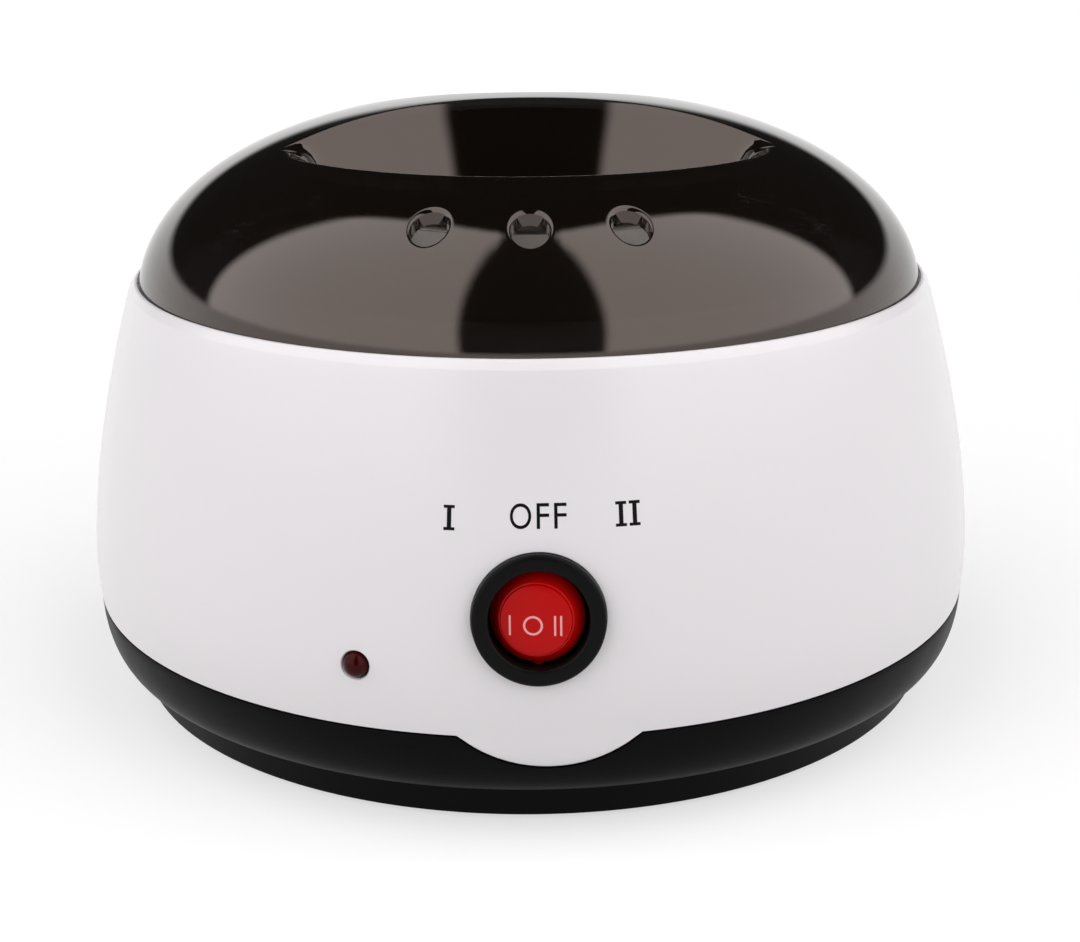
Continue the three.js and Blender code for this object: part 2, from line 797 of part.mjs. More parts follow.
// Heating well
function heatingWell() {
  const corner = wellCorner + wellWall;
  const outline = [
    [0, wellUnderside],
    ...bend(wellOuter - corner, wellFloor + wellCorner, corner, corner, -90, 0),
    [wellOuter, wellFlangeTop - wellWall],
    [wellOuter + wellFlangeWidth, wellFlangeTop - wellWall],
    [wellOuter + wellFlangeWidth, wellFlangeTop],
    [wellRadius, wellFlangeTop],
    ...bend(wellRadius - wellCorner, wellFloor + wellCorner, wellCorner, wellCorner, 0, -90),
    [0, wellFloor],
  ];
  const lugs = turns(lugCount, lugFirstTurn).map((turn) => {
    const shape = slotShape(2 * lugReach + 2 * lugRadius, 2 * lugRadius);
    const lug = extruded(shape, wellFlangeTop - wellWall, wellFlangeTop);
    lug.rotateZ(Math.PI / 2);
    return solid(moved(moved(lug, spun(turn)), around(turn, wellOuter)));
  });
  const low = wellFlangeTop - overrun;
  const high = wellFlangeTop + overrun;
  const hollow = solid(disc(wellRadius + wellWall / 2, low, high, potSegments));
  const holes = turns(lugCount, lugFirstTurn).map((turn) => {
    const hole = disc(wellScrew.shankRadius + seatGap, low, high, smallSegments);
    return solid(moved(hole, around(turn, lugOffset)));
  });
  const studPlaces = [
    [bracketStudSpacing / 2, 0],
    [-bracketStudSpacing / 2, 0],
    [0, fuseOffset + fuseStudOffset],
  ];
  const studs = studPlaces.map(([x, y]) => {
    const stud = disc(studRadius, wellUnderside - studLength, wellUnderside + wellWall / 2, smallSegments);
    stud.translate(x, y, 0);
    return solid(stud);
  });
  const rings = lugs.map((lug) => lug.subtract(hollow));
  return cut(join(solid(turned(outline, potSegments)), ...rings, ...studs), ...holes);
}
piece('heating_well', heatingWell(), aluminium);

turns(lugCount, lugFirstTurn).forEach((turn, i) => {
  const bore = wellScrew.shankRadius + seatGap;
  const spacer = tube(bore, spacerRadius, 0, spacerHeight, smallSegments);
  const above = around(turn, lugOffset, wellFlangeTop + seatGap);
  const below = around(turn, lugOffset, wellFlangeTop - wellWall - seatGap);
  piece(`well_spacer_${i + 1}`, spacer, ceramic, above);
  piece(`well_screw_${i + 1}`, screw(wellScrew), steel, below);
});

// Band heater: a split ring with two ears turned out at the back
function heaterBand() {
  const inner = wellOuter + bandGap;
  const from = Math.asin(bandSplit / 2 / inner);
  const earEnd = bandOuter + bandEarReach;
  const shape = new THREE.Shape();
  shape.absarc(0, 0, inner, from, 2 * Math.PI - from, false);
  shape.lineTo(earEnd, -bandSplit / 2);
  shape.lineTo(earEnd, -bandSplit / 2 - bandEarThickness);
  shape.lineTo(bandOuter, -bandSplit / 2 - bandEarThickness);
  const back = Math.asin((bandSplit / 2 + bandEarThickness) / bandOuter);
  shape.absarc(0, 0, bandOuter, -back, back - 2 * Math.PI, true);
  shape.lineTo(earEnd, bandSplit / 2 + bandEarThickness);
  shape.lineTo(earEnd, bandSplit / 2);
  const ring = extruded(shape, bandBottom, bandBottom + bandHeight, potSegments);
  const hole = disc(bandScrew.shankRadius + runningGap, -bandSplit * 2, bandSplit * 2, smallSegments);
  hole.rotateX(Math.PI / 2);
  hole.translate(bandOuter + bandEarReach / 2, 0, bandBottom + bandHeight / 2);
  const body = solid(ring).subtract(solid(hole));
  return body.rotate([0, 0, 90]);
}
piece('heater_band', heaterBand(), mica);

function acrossBand(x) {
  const matrix = new THREE.Matrix4().makeTranslation(
    x, bandOuter + bandEarReach / 2, bandBottom + bandHeight / 2);
  return matrix.multiply(new THREE.Matrix4().makeRotationY(Math.PI / 2));
}
const bandEarFace = bandSplit / 2 + bandEarThickness + seatGap;
piece('band_screw', screw(bandScrew), steel, acrossBand(-bandEarFace));
piece('band_nut', nut(bandScrew.shankRadius + runningGap), steel, acrossBand(bandEarFace + nutHeight));

// Thermostat: a metal cap against the well, a moulded body and two tabs
function thermostat() {
  const top = wellUnderside - seatGap;
  const shoulderLevel = top - thermostatCapHeight;
  const bottom = shoulderLevel - thermostatBodyHeight;
  const can = turned([
    [0, bottom],
    [thermostatBodyRadius, bottom],
    [thermostatBodyRadius, shoulderLevel],
    [thermostatCapRadius, shoulderLevel],
    [thermostatCapRadius, top - screwCrown],
    [thermostatCapRadius - screwCrown, top],
    [0, top],
  ], turnedSegments);
  const tabs = [-1, 1].map((side) =>
    solid(block(bladeWidth, bladeThickness, bottom - thermostatTabHeight, bottom + bladeThickness,
      0, side * thermostatTabSpacing / 2)));
  return join(solid(can), ...tabs);
}
piece('thermostat', thermostat(), darkPlastic);

function thermostatBracket() {
  const shape = slotShape(bracketStudSpacing + bracketWidth, bracketWidth);
  const waist = new THREE.Shape();
  waist.absarc(0, 0, thermostatCapRadius + bracketThickness, 0, 2 * Math.PI, false);
  const top = wellUnderside - seatGap - thermostatCapHeight - seatGap;
  const bottom = top - bracketThickness;
  const holes = [-1, 0, 1].map((side) => {
    const radius = side ? studRadius + seatGap : thermostatBodyRadius + seatGap;
    const hole = disc(radius, bottom - overrun, top + overrun, turnedSegments);
    hole.translate(side * bracketStudSpacing / 2, 0, 0);
    return solid(hole);
  });
  return cut(join(solid(extruded(shape, bottom, top)), solid(extruded(waist, bottom, top))), ...holes);
}
const bracketLevel = wellUnderside - 2 * seatGap - thermostatCapHeight - bracketThickness;
piece('thermostat_bracket', thermostatBracket(), steel);
[1, -1].forEach((side, i) => {
  const place = new THREE.Matrix4().makeTranslation(
    side * bracketStudSpacing / 2, 0, bracketLevel - seatGap);
  piece(`bracket_nut_${i + 1}`, nut(studRadius + runningGap), steel, place);
});

// Thermal fuse: an axial can with a lead at each end, strapped up to the well's underside
const fuseLevel = wellUnderside - seatGap - fuseRadius;
function thermalFuse() {
  const can = disc(fuseRadius, -fuseLength / 2, fuseLength / 2, smallSegments);
  const reach = fuseLength / 2 + fuseLeadLength;
  const lead = disc(fuseLeadRadius, -reach, reach, leastSegments);
  const fuse = join(solid(can), solid(lead));
  return fuse.rotate([0, 90, 0]).translate([0, fuseOffset, fuseLevel]);
}
piece('thermal_fuse', thermalFuse(), aluminium);

function fuseStrap() {
  const inner = fuseRadius + seatGap;
  const outer = inner + fuseStrapThickness;
  const end = fuseStudOffset + studRadius + seatGap + bladeWidth / 2;
  const level = fuseRadius;
  const shape = new THREE.Shape();
  shape.moveTo(-outer, level);
  shape.lineTo(-outer, 0);
  shape.absarc(0, 0, outer, Math.PI, 2 * Math.PI, false);
  shape.lineTo(outer, level - fuseStrapThickness);
  shape.lineTo(end, level - fuseStrapThickness);
  shape.lineTo(end, level);
  shape.lineTo(inner, level);
  shape.lineTo(inner, 0);
  shape.absarc(0, 0, inner, 2 * Math.PI, Math.PI, true);
  shape.lineTo(-inner, level);
  const strap = extruded(shape, -fuseStrapWidth / 2, fuseStrapWidth / 2, leastSegments);
  strap.rotateX(Math.PI / 2);
  strap.rotateZ(Math.PI / 2);
  strap.translate(0, fuseOffset, fuseLevel);
  const hole = disc(studRadius + seatGap, fuseLevel - fuseLength, fuseLevel + fuseLength, smallSegments);
  hole.translate(0, fuseOffset + fuseStudOffset, 0);
  return cut(solid(strap), solid(hole));
}
piece('fuse_strap', fuseStrap(), steel);
piece('strap_nut', nut(studRadius + runningGap), steel, new THREE.Matrix4().makeTranslation(
  0, fuseOffset + fuseStudOffset, fuseLevel + fuseRadius - fuseStrapThickness - seatGap));

// Switch body: bezel, barrel and two snap wings, hollow under the rocker
function switchBody() {
  const face = seatGap + bezelThickness;
  const outline = [
    [0, -barrelDepth],
    [barrelRadius, -barrelDepth],
    [barrelRadius, seatGap],
    [bezelRadius, seatGap],
    ...bend(bezelRadius - bezelRounding, face - bezelRounding, bezelRounding, bezelRounding, 0, 90),
    [wellMouthRadius + bezelRounding, face],
    [wellMouthRadius, face - bezelRounding / 2],
    [wellMouthRadius, -switchCavityDepth],
    [0, -switchCavityDepth],
  ];
  const wings = [-1, 1].map((side) => {
    const shape = new THREE.Shape();
    const start = -housingWall - seatGap;
    shape.moveTo(side * (barrelRadius - snapReach), start - snapLength);
    shape.lineTo(side * barrelRadius, start - snapLength);
    shape.lineTo(side * (barrelRadius + snapReach), start);
    shape.lineTo(side * (barrelRadius - snapReach), start);
    const wing = extruded(shape, -snapWidth / 2, snapWidth / 2);
    wing.rotateX(Math.PI / 2);
    return solid(wing);
  });
  const pivot = disc(pivotPinRadius + seatGap, -bezelRadius, bezelRadius, smallSegments);
  pivot.rotateX(Math.PI / 2);
  pivot.translate(0, 0, -rockerPivotDepth);
  return cut(join(solid(turned(outline, switchSegments)), ...wings), solid(pivot));
}
piece('switch_body', switchBody(), darkPlastic, switchFrame);

// Rocker: turns about the panel's upright axis on two stub pins, and stands pressed at its left mark
function switchRocker() {
  const body = turned([
    [0, -rockerBelow],
    [rockerRadius, -rockerBelow],
    [rockerTopRadius, rockerAbove - bezelRounding / 2],
    [rockerTopRadius - bezelRounding / 2, rockerAbove],
    [rockerFaceRadius, rockerAbove],
    ...bend(0, rockerAbove, rockerFaceRadius - bezelRounding / 2, rockerFaceRise, 20, 90),
  ], switchSegments);
  const pinEnd = rockerRadius + pivotPinReach;
  const pin = disc(pivotPinRadius, -pinEnd, pinEnd, smallSegments);
  pin.rotateX(Math.PI / 2);
  pin.translate(0, 0, -rockerPivotDepth);
  const rocker = join(solid(body), solid(pin)).translate([0, 0, rockerPivotDepth]);
  return rocker.rotate([0, -rockerTilt, 0]).translate([0, 0, -rockerPivotDepth]);
}
piece('switch_rocker', switchRocker(), redPlastic, switchFrame);

function blade() {
  const half = bladeWidth / 2;
  const shape = new THREE.Shape();
  shape.moveTo(-half, 0);
  shape.lineTo(-half, -bladeLength + half * bladeTipShare);
  shape.lineTo(-half * bladeTipShare, -bladeLength);
  shape.lineTo(half * bladeTipShare, -bladeLength);
  shape.lineTo(half, -bladeLength + half * bladeTipShare);
  shape.lineTo(half, 0);
  shape.holes.push(new THREE.Path().absarc(0, -bladeLength / 2, bladeHoleRadius, 0, 2 * Math.PI, true));
  const tab = extruded(shape, -bladeThickness / 2, bladeThickness / 2, leastSegments);
  tab.rotateX(Math.PI / 2);
  tab.rotateZ(Math.PI / 2);
  tab.translate(0, 0, -barrelDepth - seatGap);
  return tab;
}
['left', 'middle', 'right'].forEach((side, i) => {
  const tab = blade();
  tab.translate((i - 1) * bladePitch, 0, 0);
  piece(`switch_terminal_${side}`, tab, steel, switchFrame);
});

// Indicator lamp and holder
function indicatorLamp() {
  const back = lampProud - lampRadius - lampBody;
  const body = turned([
    [0, back],
    [lampRadius + lampFlange, back],
    [lampRadius + lampFlange, back + lampFlangeHeight],
    [lampRadius, back + lampFlangeHeight],
    ...bend(0, lampProud - lampRadius, lampRadius, lampRadius, 0, 90),
  ], turnedSegments);
  const leads = [-1, 1].map((side) => {
    const lead = disc(lampLeadRadius, back - lampLeadLength, back + lampFlangeHeight / 2, leastSegments);
    lead.translate(side * lampLeadSpacing / 2, 0, 0);
    return solid(lead);
  });
  return join(solid(body), ...leads);
}
piece('indicator_lamp', indicatorLamp(), redPlastic, lampFrame);

function lampHolder() {
  const front = -housingWall - 2 * seatGap;
  const inner = lampRadius + lampFlange + runningGap;
  const lip = lampRadius + runningGap;
  const shelf = lampProud - lampRadius - lampBody + lampFlangeHeight + seatGap;
  return turned([
    [inner, front - holderLength],
    [inner + holderWall, front - holderLength],
    [inner + holderWall, front],
    [lip, front],
    [lip, shelf],
    [inner, shelf],
  ], turnedSegments);
}
piece('lamp_holder', lampHolder(), darkPlastic, lampFrame);

// Cord gland: a rubber bush snapped into the wall, its bore open for a lead. Its face stands as far
// from the heater's axis as the bezel's, so that the heater is centred on its origin.

// How far the lowest point of a round rim on a wall frame stands from the heater's axis
function reachOf(frame, radius, height) {
  return Math.abs(new THREE.Vector3(0, -radius, height).applyMatrix4(frame).y);
}

const bezelReach = reachOf(switchFrame, bezelRadius - bezelRounding, seatGap + bezelThickness);
const glandReach = reachOf(glandFrame, glandFlangeRadius - glandRounding, 0);
const glandFace = (bezelReach - glandReach) / Math.abs(glandFrame.elements[9]);
function cordGland() {
  const inside = -housingWall - seatGap;
  return turned([
    [glandBore, inside - glandInnerFlange],
    [glandInnerRadius - glandRounding, inside - glandInnerFlange],
    [glandInnerRadius, inside],
    [glandNeckRadius, inside],
    [glandNeckRadius, seatGap],
    [glandFlangeRadius, seatGap],
    [glandFlangeRadius, glandFace - glandRounding],
    [glandFlangeRadius - glandRounding, glandFace],
    [glandBore, glandFace],
  ], turnedSegments);
}
piece('cord_gland', cordGland(), rubber, glandFrame);

export default model;
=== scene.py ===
# %% [markdown]
# A wax heater in Blender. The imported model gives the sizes, and this script gives the looks: fine
# meshes for what shows, and a procedural material for every piece. It is read from top to bottom,
# one cell at a time. Sizes are in millimetres and become metres when a mesh is made.

# %% Load the frame
import json
import math

import bmesh
import bpy
from mathutils import Matrix, Vector


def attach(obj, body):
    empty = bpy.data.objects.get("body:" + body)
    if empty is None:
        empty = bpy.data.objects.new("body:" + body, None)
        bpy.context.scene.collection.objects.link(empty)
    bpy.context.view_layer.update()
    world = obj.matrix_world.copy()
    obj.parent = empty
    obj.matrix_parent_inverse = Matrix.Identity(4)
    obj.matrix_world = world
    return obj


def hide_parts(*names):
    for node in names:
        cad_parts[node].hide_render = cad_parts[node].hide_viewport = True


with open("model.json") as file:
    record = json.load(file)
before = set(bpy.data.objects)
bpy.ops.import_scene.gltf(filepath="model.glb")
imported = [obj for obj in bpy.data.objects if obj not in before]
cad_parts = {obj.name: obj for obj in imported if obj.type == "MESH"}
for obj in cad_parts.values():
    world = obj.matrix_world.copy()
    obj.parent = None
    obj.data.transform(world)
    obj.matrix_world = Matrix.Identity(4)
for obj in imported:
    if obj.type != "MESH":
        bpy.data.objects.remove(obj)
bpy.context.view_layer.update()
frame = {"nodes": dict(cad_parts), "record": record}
MM = 0.001

# %% [markdown]
# Every fine piece is gathered as rows of points that are joined by faces. The rows could come from
# Blender's own lathe tools, but the housing, the tray and the lid all have rows that change on the
# way round, so one small class serves them all, and plain turned pieces too.

# %% Skins of points and faces
class Skin:
    """Points and faces for one mesh, in millimetres."""

    def __init__(self):
        self.points = []
        self.faces = []

    def row(self, points):
        start = len(self.points)
        self.points.extend(points)
        return list(range(start, len(self.points)))

    def band(self, low, high, closed=True, gaps=()):
        count = max(len(low), len(high))
        for i in range(count if closed else count - 1):
            if i in gaps:
                continue
            j = (i + 1) % count
            quad = [low[i % len(low)], low[j % len(low)], high[j % len(high)], high[i % len(high)]]
            self.faces.append(list(dict.fromkeys(quad)))

    def bands(self, rows, closed=True, looped=False):
        for low, high in zip(rows, rows[1:]):
            self.band(low, high, closed)
        if looped:
            self.band(rows[-1], rows[0], closed)

    def prism(self, place, outline, low, high):
        """A closed flat body from an outline, between two depths of a frame."""
        ends = [self.row([place @ Vector((x, y, z)) for x, y in outline]) for z in (low, high)]
        self.band(*ends)
        self.faces += [ends[0][::-1], ends[1]]

    def piece(self, name, sharp=35, place=None):
        mesh = bpy.data.meshes.new(name)
        mesh.from_pydata([Vector(point) * MM for point in self.points], [], self.faces)
        if place:
            scaled = Matrix.Scale(MM, 4) @ place @ Matrix.Scale(1 / MM, 4)
            mesh.transform(scaled)
        return finished(name, mesh, sharp)


def finished(name, mesh, sharp=35):
    """An object for the mesh: doubles merged, faces outwards, smooth but for its sharp edges."""
    shell = bmesh.new()
    shell.from_mesh(mesh)
    bmesh.ops.remove_doubles(shell, verts=shell.verts, dist=0.001 * MM)
    bmesh.ops.recalc_face_normals(shell, faces=shell.faces)
    shell.to_mesh(mesh)
    shell.free()
    mesh.shade_smooth()
    mesh.set_sharp_from_angle(angle=math.radians(sharp))
    piece = bpy.data.objects.new(name, mesh)
    bpy.context.scene.collection.objects.link(piece)
    print(name, len(mesh.polygons), "faces")
    return piece


# %% [markdown]
# A turned piece is a profile of corners, each with its own rounding, as a turner would draw it. The
# rounding is a short curve from one side of the corner to the other.

# %% Turned pieces
def rounded(corners, steps=4):
    """Profile points from (radius, height, rounding) corners."""
    profile = []
    for k, (radius, height, rounding) in enumerate(corners):
        here = Vector((radius, height))
        if not rounding:
            profile.append(here)
            continue
        before = (Vector(corners[k - 1][:2]) - here).normalized()
        after = (Vector(corners[(k + 1) % len(corners)][:2]) - here).normalized()
        reach = rounding / math.tan(before.angle(after) / 2)
        start = here + before * reach
        end = here + after * reach
        for i in range(steps + 1):
            t = i / steps
            profile.append(start * (1 - t) ** 2 + here * 2 * t * (1 - t) + end * t ** 2)
    return profile


def ring_of(radius, height, count, turn=0):
    if radius < 1e-6:
        return [(0, 0, height)]
    angles = [turn + 2 * math.pi * i / count for i in range(count)]
    return [(radius * math.cos(a), radius * math.sin(a), height) for a in angles]


def turn_into(skin, profile, count=128):
    """Adds a turned solid to a skin: its profile runs from axis to axis, or closes on itself."""
    rows = [skin.row(ring_of(radius, height, count)) for radius, height in profile]
    skin.bands(rows, looped=profile[0][0] > 1e-6)


def turned(name, profile, count=128, sharp=35, place=None):
    skin = Skin()
    turn_into(skin, profile, count)
    return skin.piece(name, sharp, place)


# %% [markdown]
# Geometry Nodes trees and shader trees are both built here by code, a node at a time. One helper
# makes a node and wires it up, and two more start and end a Geometry Nodes tree. Every tree has
# named inputs and ends in real geometry and a material, because the export drops instances.

# %% Nodes and trees
def add(tree, kind, inputs=None, **settings):
    """A node with its settings, each input given a value or linked to another node's output."""
    made = tree.nodes.new(kind)
    for name, value in settings.items():
        setattr(made, name, value)
    for name, value in (inputs or {}).items():
        socket = made.inputs[name]
        if isinstance(value, bpy.types.NodeSocket):
            tree.links.new(value, socket)
        else:
            socket.default_value = value
    return made


def new_tree(name, inputs):
    """A Geometry Nodes tree with named inputs, and the sockets that give them."""
    tree = bpy.data.node_groups.new(name, "GeometryNodeTree")
    for socket, kind in inputs.items():
        tree.interface.new_socket(socket, in_out="INPUT", socket_type="NodeSocket" + kind)
    tree.interface.new_socket("Geometry", in_out="OUTPUT", socket_type="NodeSocketGeometry")
    return tree, add(tree, "NodeGroupInput").outputs


def end_tree(tree, shape, finish):
    plain = add(tree, "GeometryNodeRealizeInstances", {"Geometry": shape})
    painted = add(tree, "GeometryNodeSetMaterial",
                  {"Geometry": plain.outputs[0], "Material": finish})
    add(tree, "NodeGroupOutput", {"Geometry": painted.outputs[0]})
    return tree


# %% [markdown]
# Pieces that repeat round the axis, such as feet and screws, are copies on a ring, made by one
# tree. An array modifier could do it too, but the tree keeps the count, the radius and the finish
# as named inputs. The places are points set out by their number, because a mesh circle is empty
# for a count of two.

# %% Copies on a ring
def ring_tree():
    tree, given = new_tree("copies_on_a_ring", {"Piece": "Object", "Count": "Int",
                                                "Radius": "Float", "First turn": "Float",
                                                "Finish": "Material"})
    index = add(tree, "GeometryNodeInputIndex").outputs[0]
    step = add(tree, "ShaderNodeMath", {0: math.tau, 1: given["Count"]}, operation="DIVIDE")
    angle = add(tree, "ShaderNodeMath", {0: index, 1: step.outputs[0], 2: given["First turn"]},
                operation="MULTIPLY_ADD")
    arm = add(tree, "ShaderNodeCombineXYZ", {"X": given["Radius"]})
    place = add(tree, "ShaderNodeVectorRotate",
                {"Vector": arm.outputs[0], "Angle": angle.outputs[0]}, rotation_type="Z_AXIS")
    places = add(tree, "GeometryNodePoints",
                 {"Count": given["Count"], "Position": place.outputs[0]})
    source = add(tree, "GeometryNodeObjectInfo", {"Object": given["Piece"]})
    position = add(tree, "GeometryNodeInputPosition")
    outwards = add(tree, "FunctionNodeAlignRotationToVector",
                   {"Vector": position.outputs[0]}, axis="X")
    copies = add(tree, "GeometryNodeInstanceOnPoints",
                 {"Points": places.outputs[0], "Instance": source.outputs["Geometry"],
                  "Rotation": outwards.outputs[0]})
    return end_tree(tree, copies.outputs[0], given["Finish"])


def set_input(modifier, name, value):
    for item in modifier.node_group.interface.items_tree:
        if item.name == name and item.in_out == "INPUT":
            modifier[item.identifier] = value


def from_tree(name, tree, values, *sources):
    """A plain mesh made by a tree from its named inputs. The sources are removed."""
    carrier = bpy.data.objects.new(name + "_carrier", bpy.data.meshes.new(name + "_carrier"))
    bpy.context.scene.collection.objects.link(carrier)
    modifier = carrier.modifiers.new("tree", "NODES")
    modifier.node_group = tree
    for key, value in values.items():
        set_input(modifier, key, value)
    graph = bpy.context.evaluated_depsgraph_get()
    mesh = bpy.data.meshes.new_from_object(carrier.evaluated_get(graph))
    for spent in (carrier, *sources):
        bpy.data.objects.remove(spent)
    return finished(name, mesh)


def copies_on_ring(name, source, count, radius, first_turn, finish):
    """Copies of the source, which stands at the axis, on a ring."""
    return from_tree(name, RING, {"Piece": source, "Count": count, "Radius": radius * MM,
                                  "First turn": math.radians(first_turn), "Finish": finish}, source)


RING = ring_tree()

# %% [markdown]
# Effects that several finishes share are node groups, so each is built once and placed with its
# own values. These helpers keep the groups short. Every pattern reads Object coordinates, so that
# it stays with its piece in any view and any pose.

# %% Helpers for shader groups
def effect(name, inputs, output, kind):
    """A shader group with named inputs and one output, and the sockets of its inputs."""
    group = bpy.data.node_groups.new(name, "ShaderNodeTree")
    for socket, value in inputs.items():
        made = group.interface.new_socket(socket, in_out="INPUT", socket_type="NodeSocketFloat")
        made.default_value = value
    group.interface.new_socket(output, in_out="OUTPUT", socket_type="NodeSocket" + kind)
    return group, add(group, "NodeGroupInput").outputs


def object_place(tree):
    return add(tree, "ShaderNodeTexCoord").outputs["Object"]


def noise_at(tree, scale, **inputs):
    return add(tree, "ShaderNodeTexNoise",
               {"Vector": object_place(tree), "Scale": scale, **inputs}).outputs[0]


def times(tree, a, b):
    return add(tree, "ShaderNodeMath", {0: a, 1: b}, operation="MULTIPLY").outputs[0]


def ranged(tree, value, start, end, low=0.0, high=1.0, kind="LINEAR"):
    """A value that goes from low to high as the given one goes from start to end."""
    return add(tree, "ShaderNodeMapRange",
               {"Value": value, "From Min": start, "From Max": end, "To Min": low, "To Max": high},
               interpolation_type=kind).outputs[0]


# %% [markdown]
# Moulded grain is a very fine bump, handling marks vary the gloss a little, edge wear brightens
# proud edges, dust settles on faces that look up, and spun lines are the fine rings that a lathe
# leaves on aluminium.

# %% Shared shader effects
def moulded_grain():
    group, given = effect("moulded_grain", {"Scale": 4000, "Depth": 0.00001}, "Normal", "Vector")
    noise = noise_at(group, given["Scale"], Detail=2)
    bump = add(group, "ShaderNodeBump", {"Height": noise, "Distance": given["Depth"]})
    add(group, "NodeGroupOutput", {"Normal": bump.outputs[0]})
    return group


def handling_marks():
    group, given = effect("handling_marks", {"Scale": 60, "Low": 0.2, "High": 0.3},
                          "Roughness", "Float")
    noise = noise_at(group, given["Scale"], Detail=5, Distortion=0.6)
    gloss = ranged(group, noise, 0.2, 0.8, given["Low"], given["High"])
    add(group, "NodeGroupOutput", {"Roughness": gloss})
    return group


def edge_wear():
    group, given = effect("edge_wear", {"Amount": 0.5, "Scale": 300}, "Mask", "Float")
    shape = add(group, "ShaderNodeNewGeometry")
    edge = ranged(group, shape.outputs["Pointiness"], 0.52, 0.6)
    broken = times(group, edge, noise_at(group, given["Scale"], Detail=4))
    add(group, "NodeGroupOutput", {"Mask": times(group, broken, given["Amount"])})
    return group


def settled_dust():
    group, given = effect("settled_dust", {"Amount": 0.1, "Scale": 900}, "Mask", "Float")
    shape = add(group, "ShaderNodeNewGeometry")
    split = add(group, "ShaderNodeSeparateXYZ", {0: shape.outputs["Normal"]})
    level = ranged(group, split.outputs["Z"], 0.5, 1)
    specks = ranged(group, noise_at(group, given["Scale"], Detail=6), 0.45, 0.75)
    thin = times(group, times(group, level, specks), given["Amount"])
    add(group, "NodeGroupOutput", {"Mask": thin})
    return group


def spun_lines():
    group, given = effect("spun_lines", {"Scale": 2500, "Depth": 0.000006}, "Normal", "Vector")
    flat = add(group, "ShaderNodeVectorMath",
               {0: object_place(group), 1: (1, 1, 0.4)}, operation="MULTIPLY")
    radius = add(group, "ShaderNodeVectorMath", {0: flat.outputs[0]}, operation="LENGTH")
    lines = add(group, "ShaderNodeTexNoise",
                {"W": radius.outputs["Value"], "Scale": given["Scale"], "Detail": 3},
                noise_dimensions="1D")
    bump = add(group, "ShaderNodeBump", {"Height": lines.outputs[0], "Distance": given["Depth"]})
    add(group, "NodeGroupOutput", {"Normal": bump.outputs[0]})
    return group


EFFECTS = {made.name: made for made in
           [moulded_grain(), handling_marks(), edge_wear(), settled_dust(), spun_lines()]}

# %% [markdown]
# One function builds a finish from a colour, a gloss range and a surface effect. Whatever is the
# same all over the piece, such as the index of refraction, is set on the shader's own socket,
# because the export drops such a number when it comes in by a link.

# %% A finish from its parts
def mixed(tree, share, first, second):
    mix = add(tree, "ShaderNodeMix", {0: share}, data_type="RGBA")
    for index, colour in ((6, first), (7, second)):
        if isinstance(colour, bpy.types.NodeSocket):
            tree.links.new(colour, mix.inputs[index])
        else:
            mix.inputs[index].default_value = (*colour, 1)
    return mix.outputs[2]


def placed(tree, name, **values):
    """A shared effect placed in a material, with its own values."""
    group = add(tree, "ShaderNodeGroup", node_tree=EFFECTS[name])
    for key, value in values.items():
        group.inputs[key].default_value = value
    return group.outputs[0]


CLOUD_SCALE = 25
DUST = (0.4, 0.38, 0.36)


def new_finish(name, colour, gloss, worn, surface=("moulded_grain", 4000, 0.00001),
               wear=0.4, dust=0.0, tone=0.06, metallic=0.0, **constants):
    """A finish: colour with a faint tone, worn edges and dust, a gloss range and a surface."""
    finish = bpy.data.materials.new(name)
    finish.use_nodes = True
    tree = finish.node_tree
    shader = tree.nodes["Principled BSDF"]
    clouds = noise_at(tree, CLOUD_SCALE, Detail=3)
    deeper = tuple(value * (1 - tone) for value in colour)
    ground = mixed(tree, clouds, deeper, colour)
    edged = mixed(tree, placed(tree, "edge_wear", Amount=wear), ground, worn)
    dusted = mixed(tree, placed(tree, "settled_dust", Amount=dust), edged, DUST)
    tree.links.new(dusted, shader.inputs["Base Color"])
    marks = placed(tree, "handling_marks", Low=gloss[0], High=gloss[1])
    tree.links.new(marks, shader.inputs["Roughness"])
    effect_name, scale, depth = surface
    relief = placed(tree, effect_name, Scale=scale, Depth=depth)
    tree.links.new(relief, shader.inputs["Normal"])
    shader.inputs["Metallic"].default_value = metallic
    for key, value in constants.items():
        shader.inputs[key.replace("_", " ")].default_value = value
    return finish


# %% [markdown]
# The finishes of this heater: near-white gloss plastic for the housing, satin blacks for the tray
# and the switch, spun aluminium, drawn steel, and the small inner parts. The values are a colour, a
# range of roughness, and the colour of worn edges. The blacks are very dark, because even a weak
# gloss lifts them.

# %% Finishes
SATIN = ("moulded_grain", 2600, 0.00003)
SPUN = ("spun_lines", 2500, 0.000006)
DRAWN = ("moulded_grain", 900, 0.000008)
FINISHES = {}


def keep_finish(name, *looks, **constants):
    FINISHES[name] = new_finish(name, *looks, **constants)


keep_finish("housing_white", (0.885, 0.848, 0.872), (0.23, 0.265), (0.86, 0.84, 0.85),
            ("moulded_grain", 350, 0.000004), wear=0.2, tone=0.015)
keep_finish("tray_black", (0.0022, 0.0022, 0.0023), (0.34, 0.46), (0.01, 0.01, 0.01), SATIN,
            dust=0.01, Specular_IOR_Level=0.055)
keep_finish("switch_black", (0.003, 0.0032, 0.003), (0.3, 0.4), (0.012, 0.012, 0.012), SATIN,
            dust=0.01, Specular_IOR_Level=0.09)
keep_finish("holder_black", (0.02, 0.02, 0.02), (0.4, 0.55), (0.05, 0.05, 0.05), SATIN)
keep_finish("thermostat_black", (0.015, 0.014, 0.013), (0.4, 0.5), (0.04, 0.04, 0.04), SATIN)
keep_finish("foot_rubber", (0.012, 0.012, 0.012), (0.6, 0.8), (0.05, 0.05, 0.05),
            ("moulded_grain", 1800, 0.00005), wear=0.6, dust=0.1, Specular_IOR_Level=0.3)
